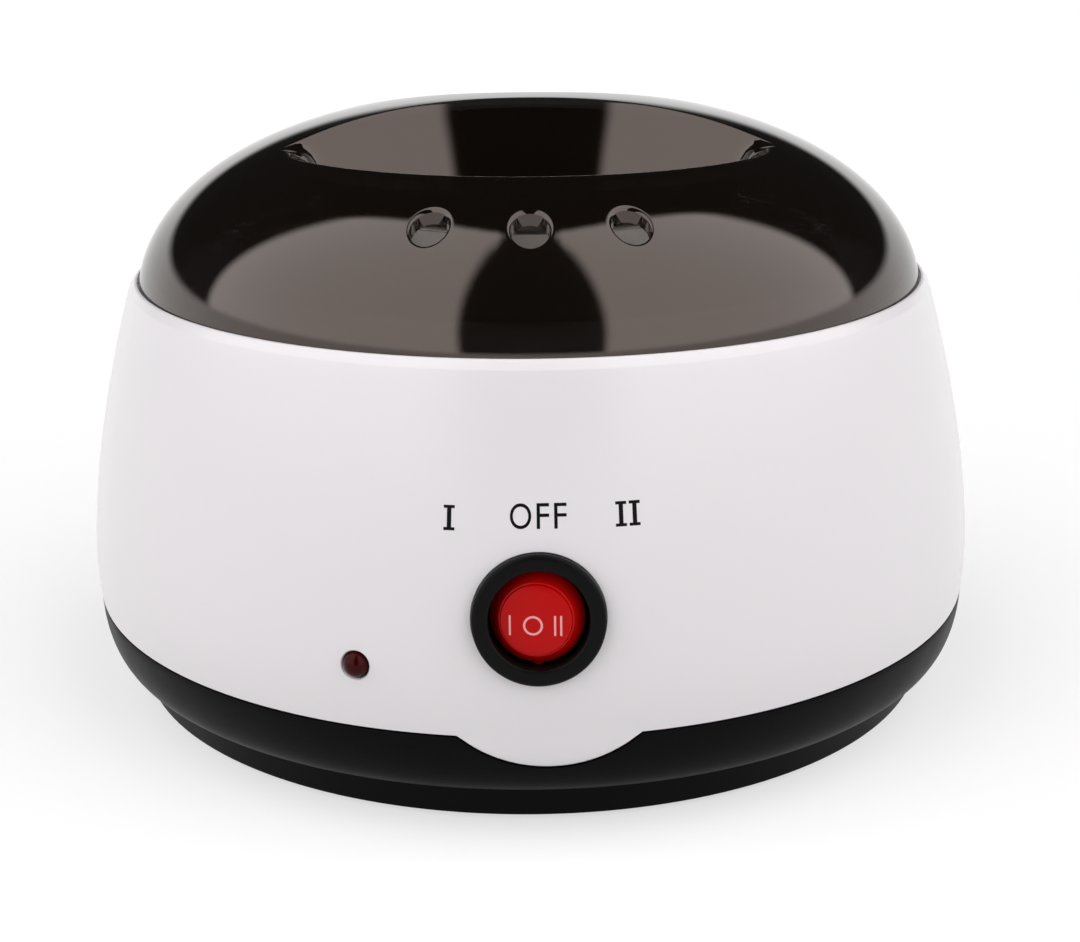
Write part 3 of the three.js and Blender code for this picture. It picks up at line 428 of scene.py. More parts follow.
keep_finish("pot_aluminium", (0.66, 0.63, 0.60), (0.28, 0.36), (0.8, 0.8, 0.8), SPUN, metallic=1.0)
keep_finish("well_aluminium", (0.52, 0.53, 0.54), (0.3, 0.45), (0.7, 0.7, 0.7), SPUN, metallic=1.0)
keep_finish("handle_steel", (0.62, 0.62, 0.63), (0.16, 0.26), (0.75, 0.75, 0.75), DRAWN,
            metallic=1.0)
keep_finish("screw_steel", (0.55, 0.55, 0.54), (0.25, 0.4), (0.7, 0.7, 0.68), DRAWN, metallic=1.0)
keep_finish("heater_mica", (0.42, 0.37, 0.28), (0.35, 0.5), (0.55, 0.5, 0.42), DRAWN, metallic=0.6)
keep_finish("spacer_ceramic", (0.72, 0.68, 0.6), (0.5, 0.65), (0.8, 0.77, 0.7),
            ("moulded_grain", 1500, 0.00003))
keep_finish("print_black", (0.003, 0.003, 0.003), (0.4, 0.5), (0.01, 0.01, 0.01),
            Specular_IOR_Level=0.08)
keep_finish("print_pink", (0.95, 0.36, 0.36), (0.3, 0.4), (0.95, 0.5, 0.5))
print(len(FINISHES), "finishes")

# %% [markdown]
# The lid is smoked plastic: one sees a little through it and much in it. Real refraction would need
# many samples for the pot inside, so the finish is a dark gloss with an alpha. The alpha grows
# towards grazing sight, where the way through the plastic is longer, and it is low on the shell's
# back faces, because both skins together are one thickness. Daylight falls in at all angles, and
# scatters about under the lid, so for rays other than the camera's the lid lets more through.

# %% Smoked and red plastics
def either(tree, a, b):
    return add(tree, "ShaderNodeMath", {0: a, 1: b}, operation="MAXIMUM").outputs[0]


def blended(tree, share, first, second):
    """A number that goes from the first to the second as the share goes from 0 to 1."""
    return add(tree, "ShaderNodeMix", {0: share, 2: first, 3: second},
               data_type="FLOAT").outputs[0]


def smoked():
    finish = new_finish("lid_smoke", (0.004, 0.0026, 0.0019), (0.04, 0.06), (0.02, 0.015, 0.012),
                        ("moulded_grain", 120, 0.000002), wear=0.1,
                        IOR=1.5, Specular_IOR_Level=1.0, Specular_Tint=(1, 0.83, 0.76, 1))
    tree = finish.node_tree
    side = add(tree, "ShaderNodeNewGeometry").outputs["Backfacing"]
    seen = add(tree, "ShaderNodeLightPath").outputs["Is Camera Ray"]
    sight = ranged(tree, side, 0, 1, 0.99, 0.15)
    daylight = ranged(tree, side, 0, 1, 0.15, 0.08)
    facing = add(tree, "ShaderNodeLayerWeight").outputs["Facing"]
    edge = ranged(tree, facing, 0.45, 0.85, kind="SMOOTHSTEP")
    alpha = either(tree, blended(tree, seen, daylight, sight), edge)
    tree.links.new(alpha, tree.nodes["Principled BSDF"].inputs["Alpha"])
    return finish


FINISHES["lid_smoke"] = smoked()
keep_finish("rocker_red", (0.57, 0.002, 0.002), (0.16, 0.24), (0.6, 0.01, 0.01),
            ("moulded_grain", 700, 0.000004), wear=0.3, tone=0.2, Specular_IOR_Level=0.14)
keep_finish("lamp_red", (0.05, 0.001, 0.0012), (0.06, 0.1), (0.15, 0.01, 0.01),
            ("moulded_grain", 900, 0.000003), wear=0.2, tone=0.3, Specular_IOR_Level=0.1)

# %% [markdown]
# Pieces that stay as the CAD has them, such as the band heater and the lamp's holder, take the
# finish that the record names for them. The fine pieces that follow hide their own nodes.

# %% Finishes on the CAD nodes
slots = {row["node"]: row["material_slot"] for row in frame["record"]["subparts"]}
for node, slot in slots.items():
    mesh = frame["nodes"][node].data
    mesh.materials.clear()
    mesh.materials.append(FINISHES[slot])
print(len(slots), "CAD nodes with a finish")


def settle(piece, slot, body, *replaced):
    """Gives a fine piece its finish, its body and the CAD nodes that it stands for."""
    piece.data.materials.clear()
    piece.data.materials.append(FINISHES[slot])
    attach(piece, body)
    if replaced:
        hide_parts(*replaced)
    return piece


# %% [markdown]
# The housing's wall is a curve that falls from the belly to the rim. The same formula as in the CAD
# places everything on it: the switch, the lamp, the gland, and later the printed words.

# %% The wall and the frames on it
belly_radius = 90.3
belly_height = 27
rim_radius = 79.6
rim_height = 82.6
curve_power = 1.65
seam_height = 19.6
seam_tuck = 0.4
housing_wall = 2.4
seat_gap = 0.3
running_gap = 0.25


def wall_radius(z):
    if z < belly_height:
        return belly_radius - seam_tuck * ((belly_height - z) / (belly_height - seam_height)) ** 2
    share = (z - belly_height) / (rim_height - belly_height)
    return belly_radius - (belly_radius - rim_radius) * share ** curve_power


def wall_point(turn, z, inset=0.0, radius=None):
    """A point on the wall; the turn is in degrees from the front, to the right."""
    r = (wall_radius(z) if radius is None else radius) - inset
    return Vector((r * math.sin(math.radians(turn)), -r * math.cos(math.radians(turn)), z))


def wall_frame(turn, z, pad):
    """Frame on the wall: X right, Y up along it, Z out, its zero on a flat sunk under the face."""
    radius = wall_radius(z)
    rise = rim_height - belly_height
    share = max(0, (z - belly_height) / rise)
    tilt = math.atan((belly_radius - rim_radius) / rise * curve_power * share ** (curve_power - 1))
    sunk = radius - math.sqrt(radius ** 2 - pad ** 2) + running_gap
    place = Matrix.Rotation(math.radians(turn), 4, "Z") @ Matrix.Translation((0, -radius, z))
    place @= Matrix.Rotation(math.pi / 2 - tilt, 4, "X")
    return place @ Matrix.Translation((0, 0, -sunk))


bezel_pad = 11.5
lamp_radius = 2.3
gland_flange = 7.6
pad_margin = 0.4
switch_place = wall_frame(0, 41, bezel_pad + pad_margin)
lamp_place = wall_frame(-20.1, 31.3, lamp_radius + pad_margin)
gland_place = wall_frame(180, 31, gland_flange + pad_margin)
print("switch at", [round(value, 1) for value in switch_place.translation])

# %% [markdown]
# Round holes in a curved wall are awkward for boolean cuts, which leave ragged shading on gloss
# plastic. Here each hole has a window in the grid of faces, on the outside and the inside of the
# wall. Rings of points run from the window's edge to the hole, and a lining joins the two.

# %% Windows for round holes
hole_rings = 5
edge_splits = 3
ring_crowding = 0.8


def window_edge(window):
    """Once round a window's edge, as (row, column) pairs."""
    low, high, left, right = window
    edge = [(low, c) for c in range(left, right)] + [(r, right) for r in range(low, high)]
    edge += [(high, c) for c in range(right, left, -1)]
    return edge + [(r, left) for r in range(high, low, -1)]


def around_spot(values, low, high):
    """The nearest indexes outside a span of values, which rise or fall along the list."""
    rising = values[-1] > values[0]
    first = [k for k, v in enumerate(values) if (v < low if rising else v > high)]
    last = [k for k, v in enumerate(values) if (v > high if rising else v < low)]
    return max(first), min(last)


def grid_faces(skin, rows, closed, windows=()):
    for k in range(len(rows) - 1):
        gaps = {c for low, high, left, right in windows if low <= k < high
                for c in range(left, right)}
        skin.band(rows[k], rows[k + 1], closed, gaps)


def split_edge(corners):
    """The corners of a closed outline, with points between them."""
    return [tuple(p + (q - p) * i / edge_splits for p, q in zip(here, ahead))
            for here, ahead in zip(corners, corners[1:] + corners[:1])
            for i in range(edge_splits)]


def pierce(skin, skins, window, centre, coords_of, faces, rims, lining):
    """Rings from both windows to the hole's rims, then the lining between the rims."""
    edge = window_edge(window)
    sides = []
    for rows, face, rim in zip(skins, faces, rims):
        corners = split_edge([coords_of(skin.points[rows[r][c]]) for r, c in edge])
        angles = [math.atan2(b - centre[1], math.radians(a - centre[0]) * belly_radius)
                  for a, b in corners]
        ends = [rim(angle) for angle in angles]
        rings = []
        for k in range(1, hole_rings + 1):
            t = (k / hole_rings) ** ring_crowding
            rings.append(skin.row([face((1 - t) * a + t * c, (1 - t) * b + t * d)
                                   for (a, b), (c, d) in zip(corners, ends)]))
        for i, (r, c) in enumerate(edge):
            r_next, c_next = edge[(i + 1) % len(edge)]
            fan = [rings[0][(i * edge_splits + k) % len(rings[0])]
                   for k in range(edge_splits, -1, -1)]
            skin.faces.append([rows[r][c], rows[r_next][c_next], *fan])
        sides.append((rings, angles))
    (outside, angles), (inside, _) = sides
    inner_parts = [skin.row([part(angle) for angle in angles]) for part in lining]
    skin.bands(outside + inner_parts + inside[::-1])


# %% [markdown]
# The housing is one moulding. Its rows run up the outer wall, over the lip and the ledge for the
# lid, across the deck, over the collar round the pot, and down inside. At the front the bottom edge
# dips in a rounded tab, so the lowest rows follow that edge.

# %% The tab at the front
tab_width = 30.5
tab_depth = 5.5
tab_turn = 1.1
tab_radius = ((tab_width / 2) ** 2 + tab_depth ** 2) / (2 * tab_depth)
tab_centre = seam_height - tab_depth + tab_radius
step_height = 7.8
shoulder_inset = 5.0
seam_radius = wall_radius(seam_height)


def seam_edge(turn, level, grow=0.0):
    """Height of the seam at a turn: a level line, and the tab's arc where that is lower."""
    x = seam_radius * math.sin(math.radians(turn - tab_turn))
    reach = tab_radius + grow
    if abs(turn - tab_turn) > 90 or abs(x) >= reach:
        return level
    return min(level, tab_centre - math.sqrt(reach ** 2 - x ** 2))


def face_radius(z):
    """Radius of the outer face: the wall, and the tray's shoulder below the seam."""
    if z >= seam_height:
        return wall_radius(z)
    share = min(1.0, (seam_height - z) / (seam_height - step_height))
    return seam_radius - shoulder_inset * (1 - math.sqrt(1 - share ** 2))


tab_half = 15.72
tab_columns = 16
tab_reach = math.degrees(math.asin(tab_half / seam_radius))
tab_turns = [tab_turn + tab_reach * (i - tab_columns) / tab_columns
             for i in range(2 * tab_columns + 1)]
plain_turns = [t for t in range(-90, 270, 2) if abs(t - tab_turn) > tab_reach + 0.6]
turns = sorted(plain_turns + tab_turns)
print(len(turns), "columns round the wall")

# %% [markdown]
# The holes for the switch, the lamp and the gland each have a flat seat, sunk a little into the
# curved face. Their rims are found by walking from the flat up to the wall.

# %% Seats and holes in the wall
def on_wall(place, x, y, inset=0.0):
    """Turn and height of the wall's point at x, y of a frame on it."""
    height = 0.0
    for _ in range(10):
        point = place @ Vector((x, y, height))
        height -= math.hypot(point.x, point.y) - wall_radius(point.z) + inset
    point = place @ Vector((x, y, height))
    return math.degrees(math.atan2(point.x, -point.y)) % 360, point.z


def wall_hole(skin, skins, heights, place, seat, hole):
    """A round hole in its seat. Returns its window in the wall's rows and columns."""
    centre = place.translation
    turn = math.degrees(math.atan2(centre.x, -centre.y)) % 360
    column_turn = turn if turn < 270 else turn - 360
    reach = math.degrees((seat + 1) / belly_radius)
    window = (*around_spot(heights, centre.z - seat - 0.8, centre.z + seat + 0.8),
              *around_spot(turns, column_turn - reach, column_turn + reach))

    def near(a):
        return a if abs(a - column_turn) < 180 else a - 360

    def coords_of(point):
        return near(math.degrees(math.atan2(point[0], -point[1])) % 360), point[2]

    def rim(radius, inset=0.0):
        def at(angle):
            a, z = on_wall(place, radius * math.cos(angle), radius * math.sin(angle), inset)
            return near(a), z
        return at

    def flat(radius, depth):
        return lambda angle: place @ Vector((radius * math.cos(angle),
                                             radius * math.sin(angle), depth))

    lining = [flat(seat - 0.08, 0.12), flat(seat - 0.2, 0), flat(hole + 0.2, 0), flat(hole, -0.2)]
    pierce(skin, skins, window, (column_turn, centre.z), coords_of,
           (wall_point, lambda a, z: wall_point(a, z, housing_wall)),
           (rim(seat), rim(hole, housing_wall)), lining)
    return window


# %% [markdown]
# Now the housing itself, row by row. The lowest rows follow the seam's edge and are tucked in a
# little, as an edge that has left a mould is. The middle rows are level, and leave the windows
# for the holes. The top rows turn over the lip, the ledge, the deck and the collar. The posts for
# the screws are closed bodies that reach into the deck, which is enough where nothing is cut.

# %% Housing
lid_radius = 78.4
lip_radius = 78.45
rim_start = 79.4
ledge_height = rim_height - 1.2
ledge_width = 4
deck_height = 79.4
under_deck = deck_height - 2.2
collar_inner = 59.0
collar_outer = 61.2
collar_top = 83.4
first_row = 21
row_step = 2.2
row_count = 26
seam_rows = [(0, 0.3), (0.015, 0.12), (0.05, 0.02), (0.12, 0), (0.3, 0), (0.55, 0), (0.8, 0)]
wall_holes = [(switch_place, 11.4, 10.05), (lamp_place, lamp_radius + pad_margin, 2.55),
              (gland_place, gland_flange + pad_margin, 5.65)]


def housing_skin():
    skin = Skin()
    heights = [first_row + row_step * i for i in range(row_count)]
    edges = [seam_edge(t, seam_height + seat_gap) for t in turns]
    lower = []
    for share, tuck in seam_rows:
        levels = [edge + (heights[0] - edge) * share for edge in edges]
        lower.append(skin.row([wall_point(t, z, tuck, face_radius(z))
                               for t, z in zip(turns, levels)]))
    outer = [skin.row([wall_point(t, z) for t in turns]) for z in heights]
    top = rounded([(wall_radius(rim_start), rim_start, 0), (80.05, 81, 1.2), (79, 82.5, 0.6),
                   (lip_radius, rim_height, 0.1), (lip_radius, ledge_height, 0.2),
                   (lip_radius - ledge_width, ledge_height, 0.6), (collar_outer, deck_height, 0.9),
                   (collar_outer, collar_top, 0.6), (collar_inner, collar_top, 0.6),
                   (collar_inner, under_deck, 0.3),
                   (wall_radius(under_deck) - housing_wall, under_deck, 2),
                   (wall_radius(heights[-1]) - housing_wall, heights[-1] - 0.1, 0)])[:-1]
    top = [skin.row([wall_point(t, z, 0, r) for t in turns])
           for r, z in top if z > heights[-1] + 0.1]
    inner = [skin.row([wall_point(t, z, housing_wall) for t in turns]) for z in heights]
    foot = skin.row([wall_point(t, edge, 2, face_radius(edge)) for t, edge in zip(turns, edges)])
    skin.bands(lower + [outer[0]])
    skin.bands([outer[-1]] + top + [inner[-1]])
    skin.bands([lower[0], foot, inner[0]])
    windows = [wall_hole(skin, (outer, inner), heights, place, seat, hole)
               for place, seat, hole in wall_holes]
    grid_faces(skin, outer, True, windows)
    grid_faces(skin, inner, True, windows)
    return skin


def add_posts(skin, profile, count, offset, first, sides=32):
    """Turned posts round the axis, the first one at a turn in degrees from the front."""
    for k in range(count):
        angle = math.radians(first + 360 * k / count)
        start = len(skin.points)
        turn_into(skin, profile, sides)
        move = Vector((offset * math.sin(angle), -offset * math.cos(angle), 0))
        skin.points[start:] = [Vector(point) + move for point in skin.points[start:]]


def post(bore, foot):
    return [(bore, foot), (4, foot), (4, under_deck + 1), (bore, under_deck + 1)]


screw_circle = 70
screw_turn = 45
lug_circle = 66
lug_turn = 90
shell = housing_skin()
add_posts(shell, post(1.75, 13.9), 4, screw_circle, screw_turn)
add_posts(shell, post(1.5, 72.2), 3, lug_circle, lug_turn)
settle(shell.piece("housing_shell", 40), "housing_white", "heater", "housing")

# %% [markdown]
# The tray under the housing is satin black plastic. Its shoulder swells from a narrow foot up to
# the seam, and a notch takes the housing's tab. The slots, sockets and screw sinks below are plain
# cuts in a flat floor, where a boolean is clean.

# %% Tray
tray_bottom = 3
tray_floor = 5.6
tray_ring = 79.4
tongue_outer = 87.2
tongue_inner = 85.5
tongue_top = 23.6
shoulder_floor = 11.2
shoulder_rows = 16


def tray_skin():
    skin = Skin()
    edges = [seam_edge(t, seam_height, seat_gap) for t in turns]
    foot = [(0, tray_bottom), (60, tray_bottom), (tray_ring, tray_bottom)]
    foot += rounded([(tray_ring, tray_bottom, 0), (tray_ring, 1, 0.3), (82, 1, 0.5),
                     (82.4, step_height, 0.5), (84.9, step_height, 0)])[1:]
    rows = [skin.row([(0, 0, z)] if r == 0 else [wall_point(t, z, 0, r) for t in turns])
            for r, z in foot]
    for k in range(1, shoulder_rows + 1):
        share = 1 - math.cos(math.pi / 2 * k / shoulder_rows)
        levels = [step_height + (edge - 0.25 - step_height) * share for edge in edges]
        rows.append(skin.row([wall_point(t, z, 0, face_radius(z))
                              for t, z in zip(turns, levels)]))
    for drop, inset in [(0.07, 0.06), (0, 0.25)]:
        rows.append(skin.row([wall_point(t, edge - drop, inset, face_radius(edge))
                              for t, edge in zip(turns, edges)]))
    rows.append(skin.row([wall_point(t, edge, 0, tongue_outer) for t, edge in zip(turns, edges)]))
    inside = rounded([(tongue_outer, 20, 0), (tongue_outer, tongue_top, 0.3),
                      (tongue_inner, tongue_top, 0.3), (tongue_inner, shoulder_floor, 0.6),
                      (tray_ring, shoulder_floor, 0.6), (tray_ring, tray_floor, 0.6),
                      (60, tray_floor, 0)])[1:]
    rows += [skin.row([wall_point(t, z, 0, r) for t in turns]) for r, z in inside]
    rows.append(skin.row([(0, 0, tray_floor)]))
    skin.bands(rows)
    return skin


def combined(piece, tool, operation):
    """The piece after a boolean with the tool, which is removed."""
    modifier = piece.modifiers.new("boolean", "BOOLEAN")
    modifier.object = tool
    modifier.operation = operation
    modifier.solver = "EXACT"
    graph = bpy.context.evaluated_depsgraph_get()
    mesh = bpy.data.meshes.new_from_object(piece.evaluated_get(graph))
    name = piece.name
    bpy.data.objects.remove(piece)
    bpy.data.objects.remove(tool)
    return finished(name, mesh)


def slot_cutter(length, width, low, high):
    """A slot with round ends that lies along X."""
    end = (length - width) / 2
    loop = []
    for k in range(24):
        angle = math.pi * (k + 0.5) / 12 - math.pi / 2
        side = 1 if k < 12 else -1
        loop.append((side * end + width / 2 * math.cos(angle), width / 2 * math.sin(angle)))
    skin = Skin()
    skin.prism(Matrix.Identity(4), loop, low, high)
    return skin.piece("slot_cutter")


# %% [markdown]
# What repeats in the tray comes from the ring tree as well: four bosses for the screws are joined
# to it, and then the screws' sinks, the feet's sockets and ten vent slots are cut out of it.

# %% Bosses and cuts
foot_circle = 69
boss_profile = [(0, 4), (5, 4), (5, 13.3), (4.8, 13.5), (0, 13.5)]
sink_profile = [(0, 0), (3.3, 0), (3.3, 10.9), (1.8, 10.9), (1.8, 15), (0, 15)]
socket_profile = [(0, 0), (7.3, 0), (7.3, 4.2), (0, 4.2)]
black = FINISHES["tray_black"]
tray = tray_skin().piece("tray_shell")
bosses = copies_on_ring("bosses", turned("boss", boss_profile, 48), 4, screw_circle, screw_turn,
                        black)
tray = combined(tray, bosses, "UNION")
cutters = [
    copies_on_ring("sinks", turned("sink", sink_profile, 48), 4, screw_circle, screw_turn, black),
    copies_on_ring("sockets", turned("socket", socket_profile, 64), 4, foot_circle, 0, black),
    copies_on_ring("vent_slots", slot_cutter(20, 3, 0, 8), 10, 46, 18, black)]
for cutter in cutters:
    tray = combined(tray, cutter, "DIFFERENCE")
settle(tray, "tray_black", "heater", "base")

# %% [markdown]
# The feet, screws, spacers and rivets are small turned pieces. Each kind is drawn once at the axis
# and set out on its ring by the tree. The screws get a cross recess, which shows from below on
# the tray.

# %% Screws
thread_step = 0.25
thread_depth = 0.18
recess_width = 0.7
recess_depth = 1.6


def screw(name, head_radius, head_height, shank_radius, length, seat):
    """A pan-head screw under a seat, its shank upwards, with a cross recess in the head."""
    head = rounded([(0, seat - head_height, 0), (head_radius, seat - head_height, 0.7),
                    (head_radius, seat, 0.1), (shank_radius, seat, 0)])
    thread = [Vector((shank_radius - thread_depth * (k % 2), seat + thread_step * k))
              for k in range(1, int(length / thread_step) - 4)]
    tip = [Vector((0.4, seat + length)), Vector((0, seat + length))]
    body = turned(name, head + thread + tip, 32)
    for angle in (0, 90):
        blade = bmesh.new()
        bmesh.ops.create_cube(blade, size=1)
        bmesh.ops.scale(blade, vec=Vector((head_radius * 1.1, recess_width, recess_depth)) * MM,
                        verts=blade.verts)
        place = (Matrix.Translation((0, 0, (seat - head_height) * MM))
                 @ Matrix.Rotation(math.radians(angle), 4, "Z"))
        bmesh.ops.transform(blade, matrix=place, verts=blade.verts)
        mesh = bpy.data.meshes.new("blade")
        blade.to_mesh(mesh)
        blade.free()
        tool = bpy.data.objects.new("blade", mesh)
        bpy.context.scene.collection.objects.link(tool)
        body = combined(body, tool, "DIFFERENCE")
    return body


# %% [markdown]
# Now the rings are filled. Each row gives the count, the ring's radius, the first turn, the finish,
# the body that carries the pieces, and the CAD nodes that they stand for.

# %% Feet, screws, spacers and rivets
def set_out(name, source, count, radius, first_turn, slot, body, *replaced):
    copies = copies_on_ring(name, source, count, radius, first_turn, FINISHES[slot])
    settle(copies, slot, body, *replaced)


def numbered(name, count):
    return [f"{name}_{k}" for k in range(1, count + 1)]


foot_profile = rounded([(0, 0.4, 0), (4.4, 0.4, 0.3), (4.8, 0, 0.2), (7, 0, 0.6), (7, 3.9, 0.2),
                        (0, 3.9, 0)])
spacer_profile = rounded([(1.55, 70.1, 0.2), (4, 70.1, 0.3), (4, 71.9, 0.3), (1.55, 71.9, 0.2)])
rivet_profile = rounded([(0, 83.7, 0), (1.2, 83.7, 0), (1.2, 86.4, 0), (2.1, 86.4, 0.1),
                         (1.9, 87.2, 0.5), (0, 87.2, 0)])
set_out("feet", turned("foot", foot_profile, 64), 4, foot_circle, 0, "foot_rubber", "heater",
        *numbered("rubber_foot", 4))
set_out("tray_screws", screw("tray_screw", 3, 2, 1.5, 14, 10.6), 4, screw_circle, screw_turn,
        "screw_steel", "heater", *numbered("base_screw", 4))
set_out("well_screws", screw("well_screw", 2.6, 1.7, 1.25, 7, 68.5), 3, lug_circle, 0,
        "screw_steel", "heater", *numbered("well_screw", 3))
set_out("well_spacers", turned("spacer", spacer_profile, 48), 3, lug_circle, 0,
        "spacer_ceramic", "heater", *numbered("well_spacer", 3))
set_out("ear_rivets", turned("rivet", rivet_profile, 32), 2, 60.8, 0, "handle_steel", "pot",
        "ear_rivet_right", "ear_rivet_left")

# %% [markdown]
# The lid is a dome with a round dish sunk in its crown, and a hollow bar across the dish for the
# grip. Columns of points run across it from front to back. On each column the points are crowded
# where the bar's wall drops and where the dish begins, so that the edges stay crisp.

# %% Forms of the lid
lid_bottom = ledge_height + seat_gap
dome_start = lid_bottom - 2.92
lid_top = 116.4
lid_wall = 2.2
dish_radius = 52.0
ledge_inner = 49.0
bowl_radius = 41.0
bowl_floor = 98.0
ledge_drop = 1.5
dome_power = 2.35
grip_half = 4.7
grip_flare = 17.0
flare_reach = 50.0
edge_round = 0.4
wall_run = 4.2


def bar_half(x, inset=0.0):
    """Half width of the grip bar: nearly straight in the middle, and flared to its ends."""
    return grip_half + grip_flare * (x / flare_reach) ** 2 - inset


def bar_slope(x):
    return grip_flare * 2 * x / flare_reach ** 2


def dome_height(r, inset=0.0):
    share = max(0.0, 1 - (r / (lid_radius - inset)) ** dome_power)
    return dome_start + (lid_top - inset - dome_start) * share ** (1 / 2)


def dome_radius(z, inset=0.0):
    share = (z - dome_start) / (lid_top - inset - dome_start)
    return (lid_radius - inset) * (1 - share ** 2) ** (1 / dome_power)


dish_edge = dome_height(dish_radius)
print("the dish starts", round(dish_edge, 1), "mm over the table")


def dish_height(r, inset=0.0):
    """Height of the dish's face: a sloping ledge, an S-curve and the bowl's floor."""
    start = ledge_inner + inset / 2
    end = bowl_radius - inset / 2
    edge = dish_radius + inset
    high = dish_edge - ledge_drop
    if r >= start:
        return high - inset + ledge_drop * (r - start) / (edge - start)
    if r <= end:
        return bowl_floor - inset
    low_t, high_t = 0.0, 1.0
    for _ in range(30):
        t = (low_t + high_t) / 2
        x = (start + end) / 2 + (start - end) / 2 * ((1 - t) ** 3 - t ** 3)
        low_t, high_t = (t, high_t) if x > r else (low_t, t)
    return bowl_floor + (high - bowl_floor) * ((1 - t) ** 3 + 3 * (1 - t) ** 2 * t) - inset


def soft_lower(a, b, width):
    """The lower of two heights, with a round fillet of a width where they cross."""
    h = max(0.0, width - abs(a - b)) / width
    return min(a, b) - h * h * width / 4


# %% [markdown]
# The wall of the bar is drawn as steps outwards from its edge: a rounding on top, a slope of a few
# millimetres, and a fillet at the floor. Each step has a drop, and the rest of the column follows
# the dish. Where the bar's edge nears the dish's circle, the scoop grows shallow and runs out.

# %% Columns across the dish
wall_reach = edge_round + wall_run + 1
wall_steps = []
for bend in (0, 14, 28, 42, 56, 70, 84):
    a = math.radians(bend)
    wall_steps.append((edge_round * math.sin(a), "top", edge_round * (1 - math.cos(a))))
for k in (1, 2, 3, 4, 5):
    wall_steps.append((edge_round + wall_run * k / 6, "middle", k / 6))
for bend in (84, 66, 48, 30, 14, 0):
    a = math.radians(bend)
    wall_steps.append((wall_reach - math.sin(a), "bottom", 1 - math.cos(a)))
bend_depth = 0.895
full_room = 16
wall_share = 0.45
fillet = 0.8
floor_count = 34
floor_crowding = 1.7
bar_count = 12


def edge_share(room):
    """How deep a scoop is, from 0 to 1, by the room between the bar's edge and the circle."""
    share = min(1.0, room / full_room)
    return share * share * (3 - 2 * share)


def corner_angle(inset):
    """Angle at which the bar's edge meets the dish's circle."""
    low, high = 5.0, 60.0
    for _ in range(40):
        middle = (low + high) / 2
        x = (dish_radius + inset) * math.cos(math.radians(middle))
        wide = bar_half(x, inset) < (dish_radius + inset) * math.sin(math.radians(middle))
        low, high = (low, middle) if wide else (middle, high)
    return middle


def column(skin, angle, inset, side):
    """Points of one scoop from the bar's edge to the circle, at an angle round the circle."""
    circle = dish_radius + inset
    x = circle * math.cos(angle)
    reach = circle * math.sin(angle)
    half = min(reach, bar_half(x, inset))
    lean = math.hypot(1, bar_slope(x))
    room = max(0.0, reach - half)
    scale = min(1.0, wall_share * room / (wall_reach * lean))
    deep = edge_share(room)
    points = []
    for out, kind, drop in wall_steps:
        y = half + out * lean * scale
        r = math.hypot(x, y)
        top = dome_height(r, inset)
        floor = top - deep * max(0.0, top - dish_height(r, inset))
        tight = min(1.0, (top - floor) / 2)
        high = top - edge_round * bend_depth * tight
        low = floor + bend_depth * tight
        z = {"top": top - drop * tight, "middle": high + (low - high) * drop,
             "bottom": floor + drop * tight}[kind]
        points.append((x, side * y, z))
    start = half + wall_reach * lean * scale
    for k in range(1, floor_count + 1):
        y = start + (reach - start) * (1 - (1 - k / floor_count) ** floor_crowding)
        r = math.hypot(x, y)
        top = dome_height(r, inset)
        floor = top - deep * (top - soft_lower(top, dish_height(r, inset), fillet))
        points.append((x, side * y, floor))
    return skin.row(points)


# %% [markdown]
# The lid has an outer and an inner skin, a wall's thickness apart, and the same functions draw
# both. The crown comes first: the bar's top, and a scoop on each side of it. Rings then run from
# the dish's circle down the dome. Each point of a ring has a share of the dish's rounded lip, all
# of it at the scoops and none at the ends of the bar.

# %% One skin of the lid
end_columns = 17
scoop_columns = 42
dome_rings = 28
rim_bevel = 0.4


def crown(skin, inset):
    """The bar and both scoops. Returns the circle's points in order, with angles and shares."""
    circle = dish_radius + inset
    corner = corner_angle(inset)
    quarter = [corner * k / end_columns for k in range(end_columns)]
    quarter += [corner + (90 - corner) * k / scoop_columns for k in range(scoop_columns + 1)]
    angles = [math.radians(a) for a in quarter + [180 - a for a in quarter[-2::-1]]]
    bars = []
    front = []
    back = []
    shares = []
    last = len(angles) - 1 - end_columns
    for k, angle in enumerate(angles):
        x = circle * math.cos(angle)
        reach = circle * math.sin(angle)
        half = min(reach, bar_half(x, inset))
        shares.append(edge_share(reach - half))
        line = [half * (i / bar_count - 1) for i in range(2 * bar_count + 1)]
        bars.append(skin.row([(x, y, dome_height(math.hypot(x, y), inset)) for y in line]))
        if end_columns <= k <= last:
            front.append(column(skin, angle, inset, -1))
            back.append(column(skin, angle, inset, 1))
    for columns in (bars, front, back):
        skin.bands(columns, closed=False)
    loop = []
    for side, columns in ((1, back), (-1, front)):
        for k, angle in enumerate(angles):
            if end_columns <= k <= last:
                point = columns[k - end_columns][-1]
            else:
                point = bars[k][-1 if side > 0 else 0]
            loop.append((angle if side > 0 else 2 * math.pi - angle, point, shares[k]))
    count = len(angles)
    return loop[:count] + loop[count + 1:-1][::-1]


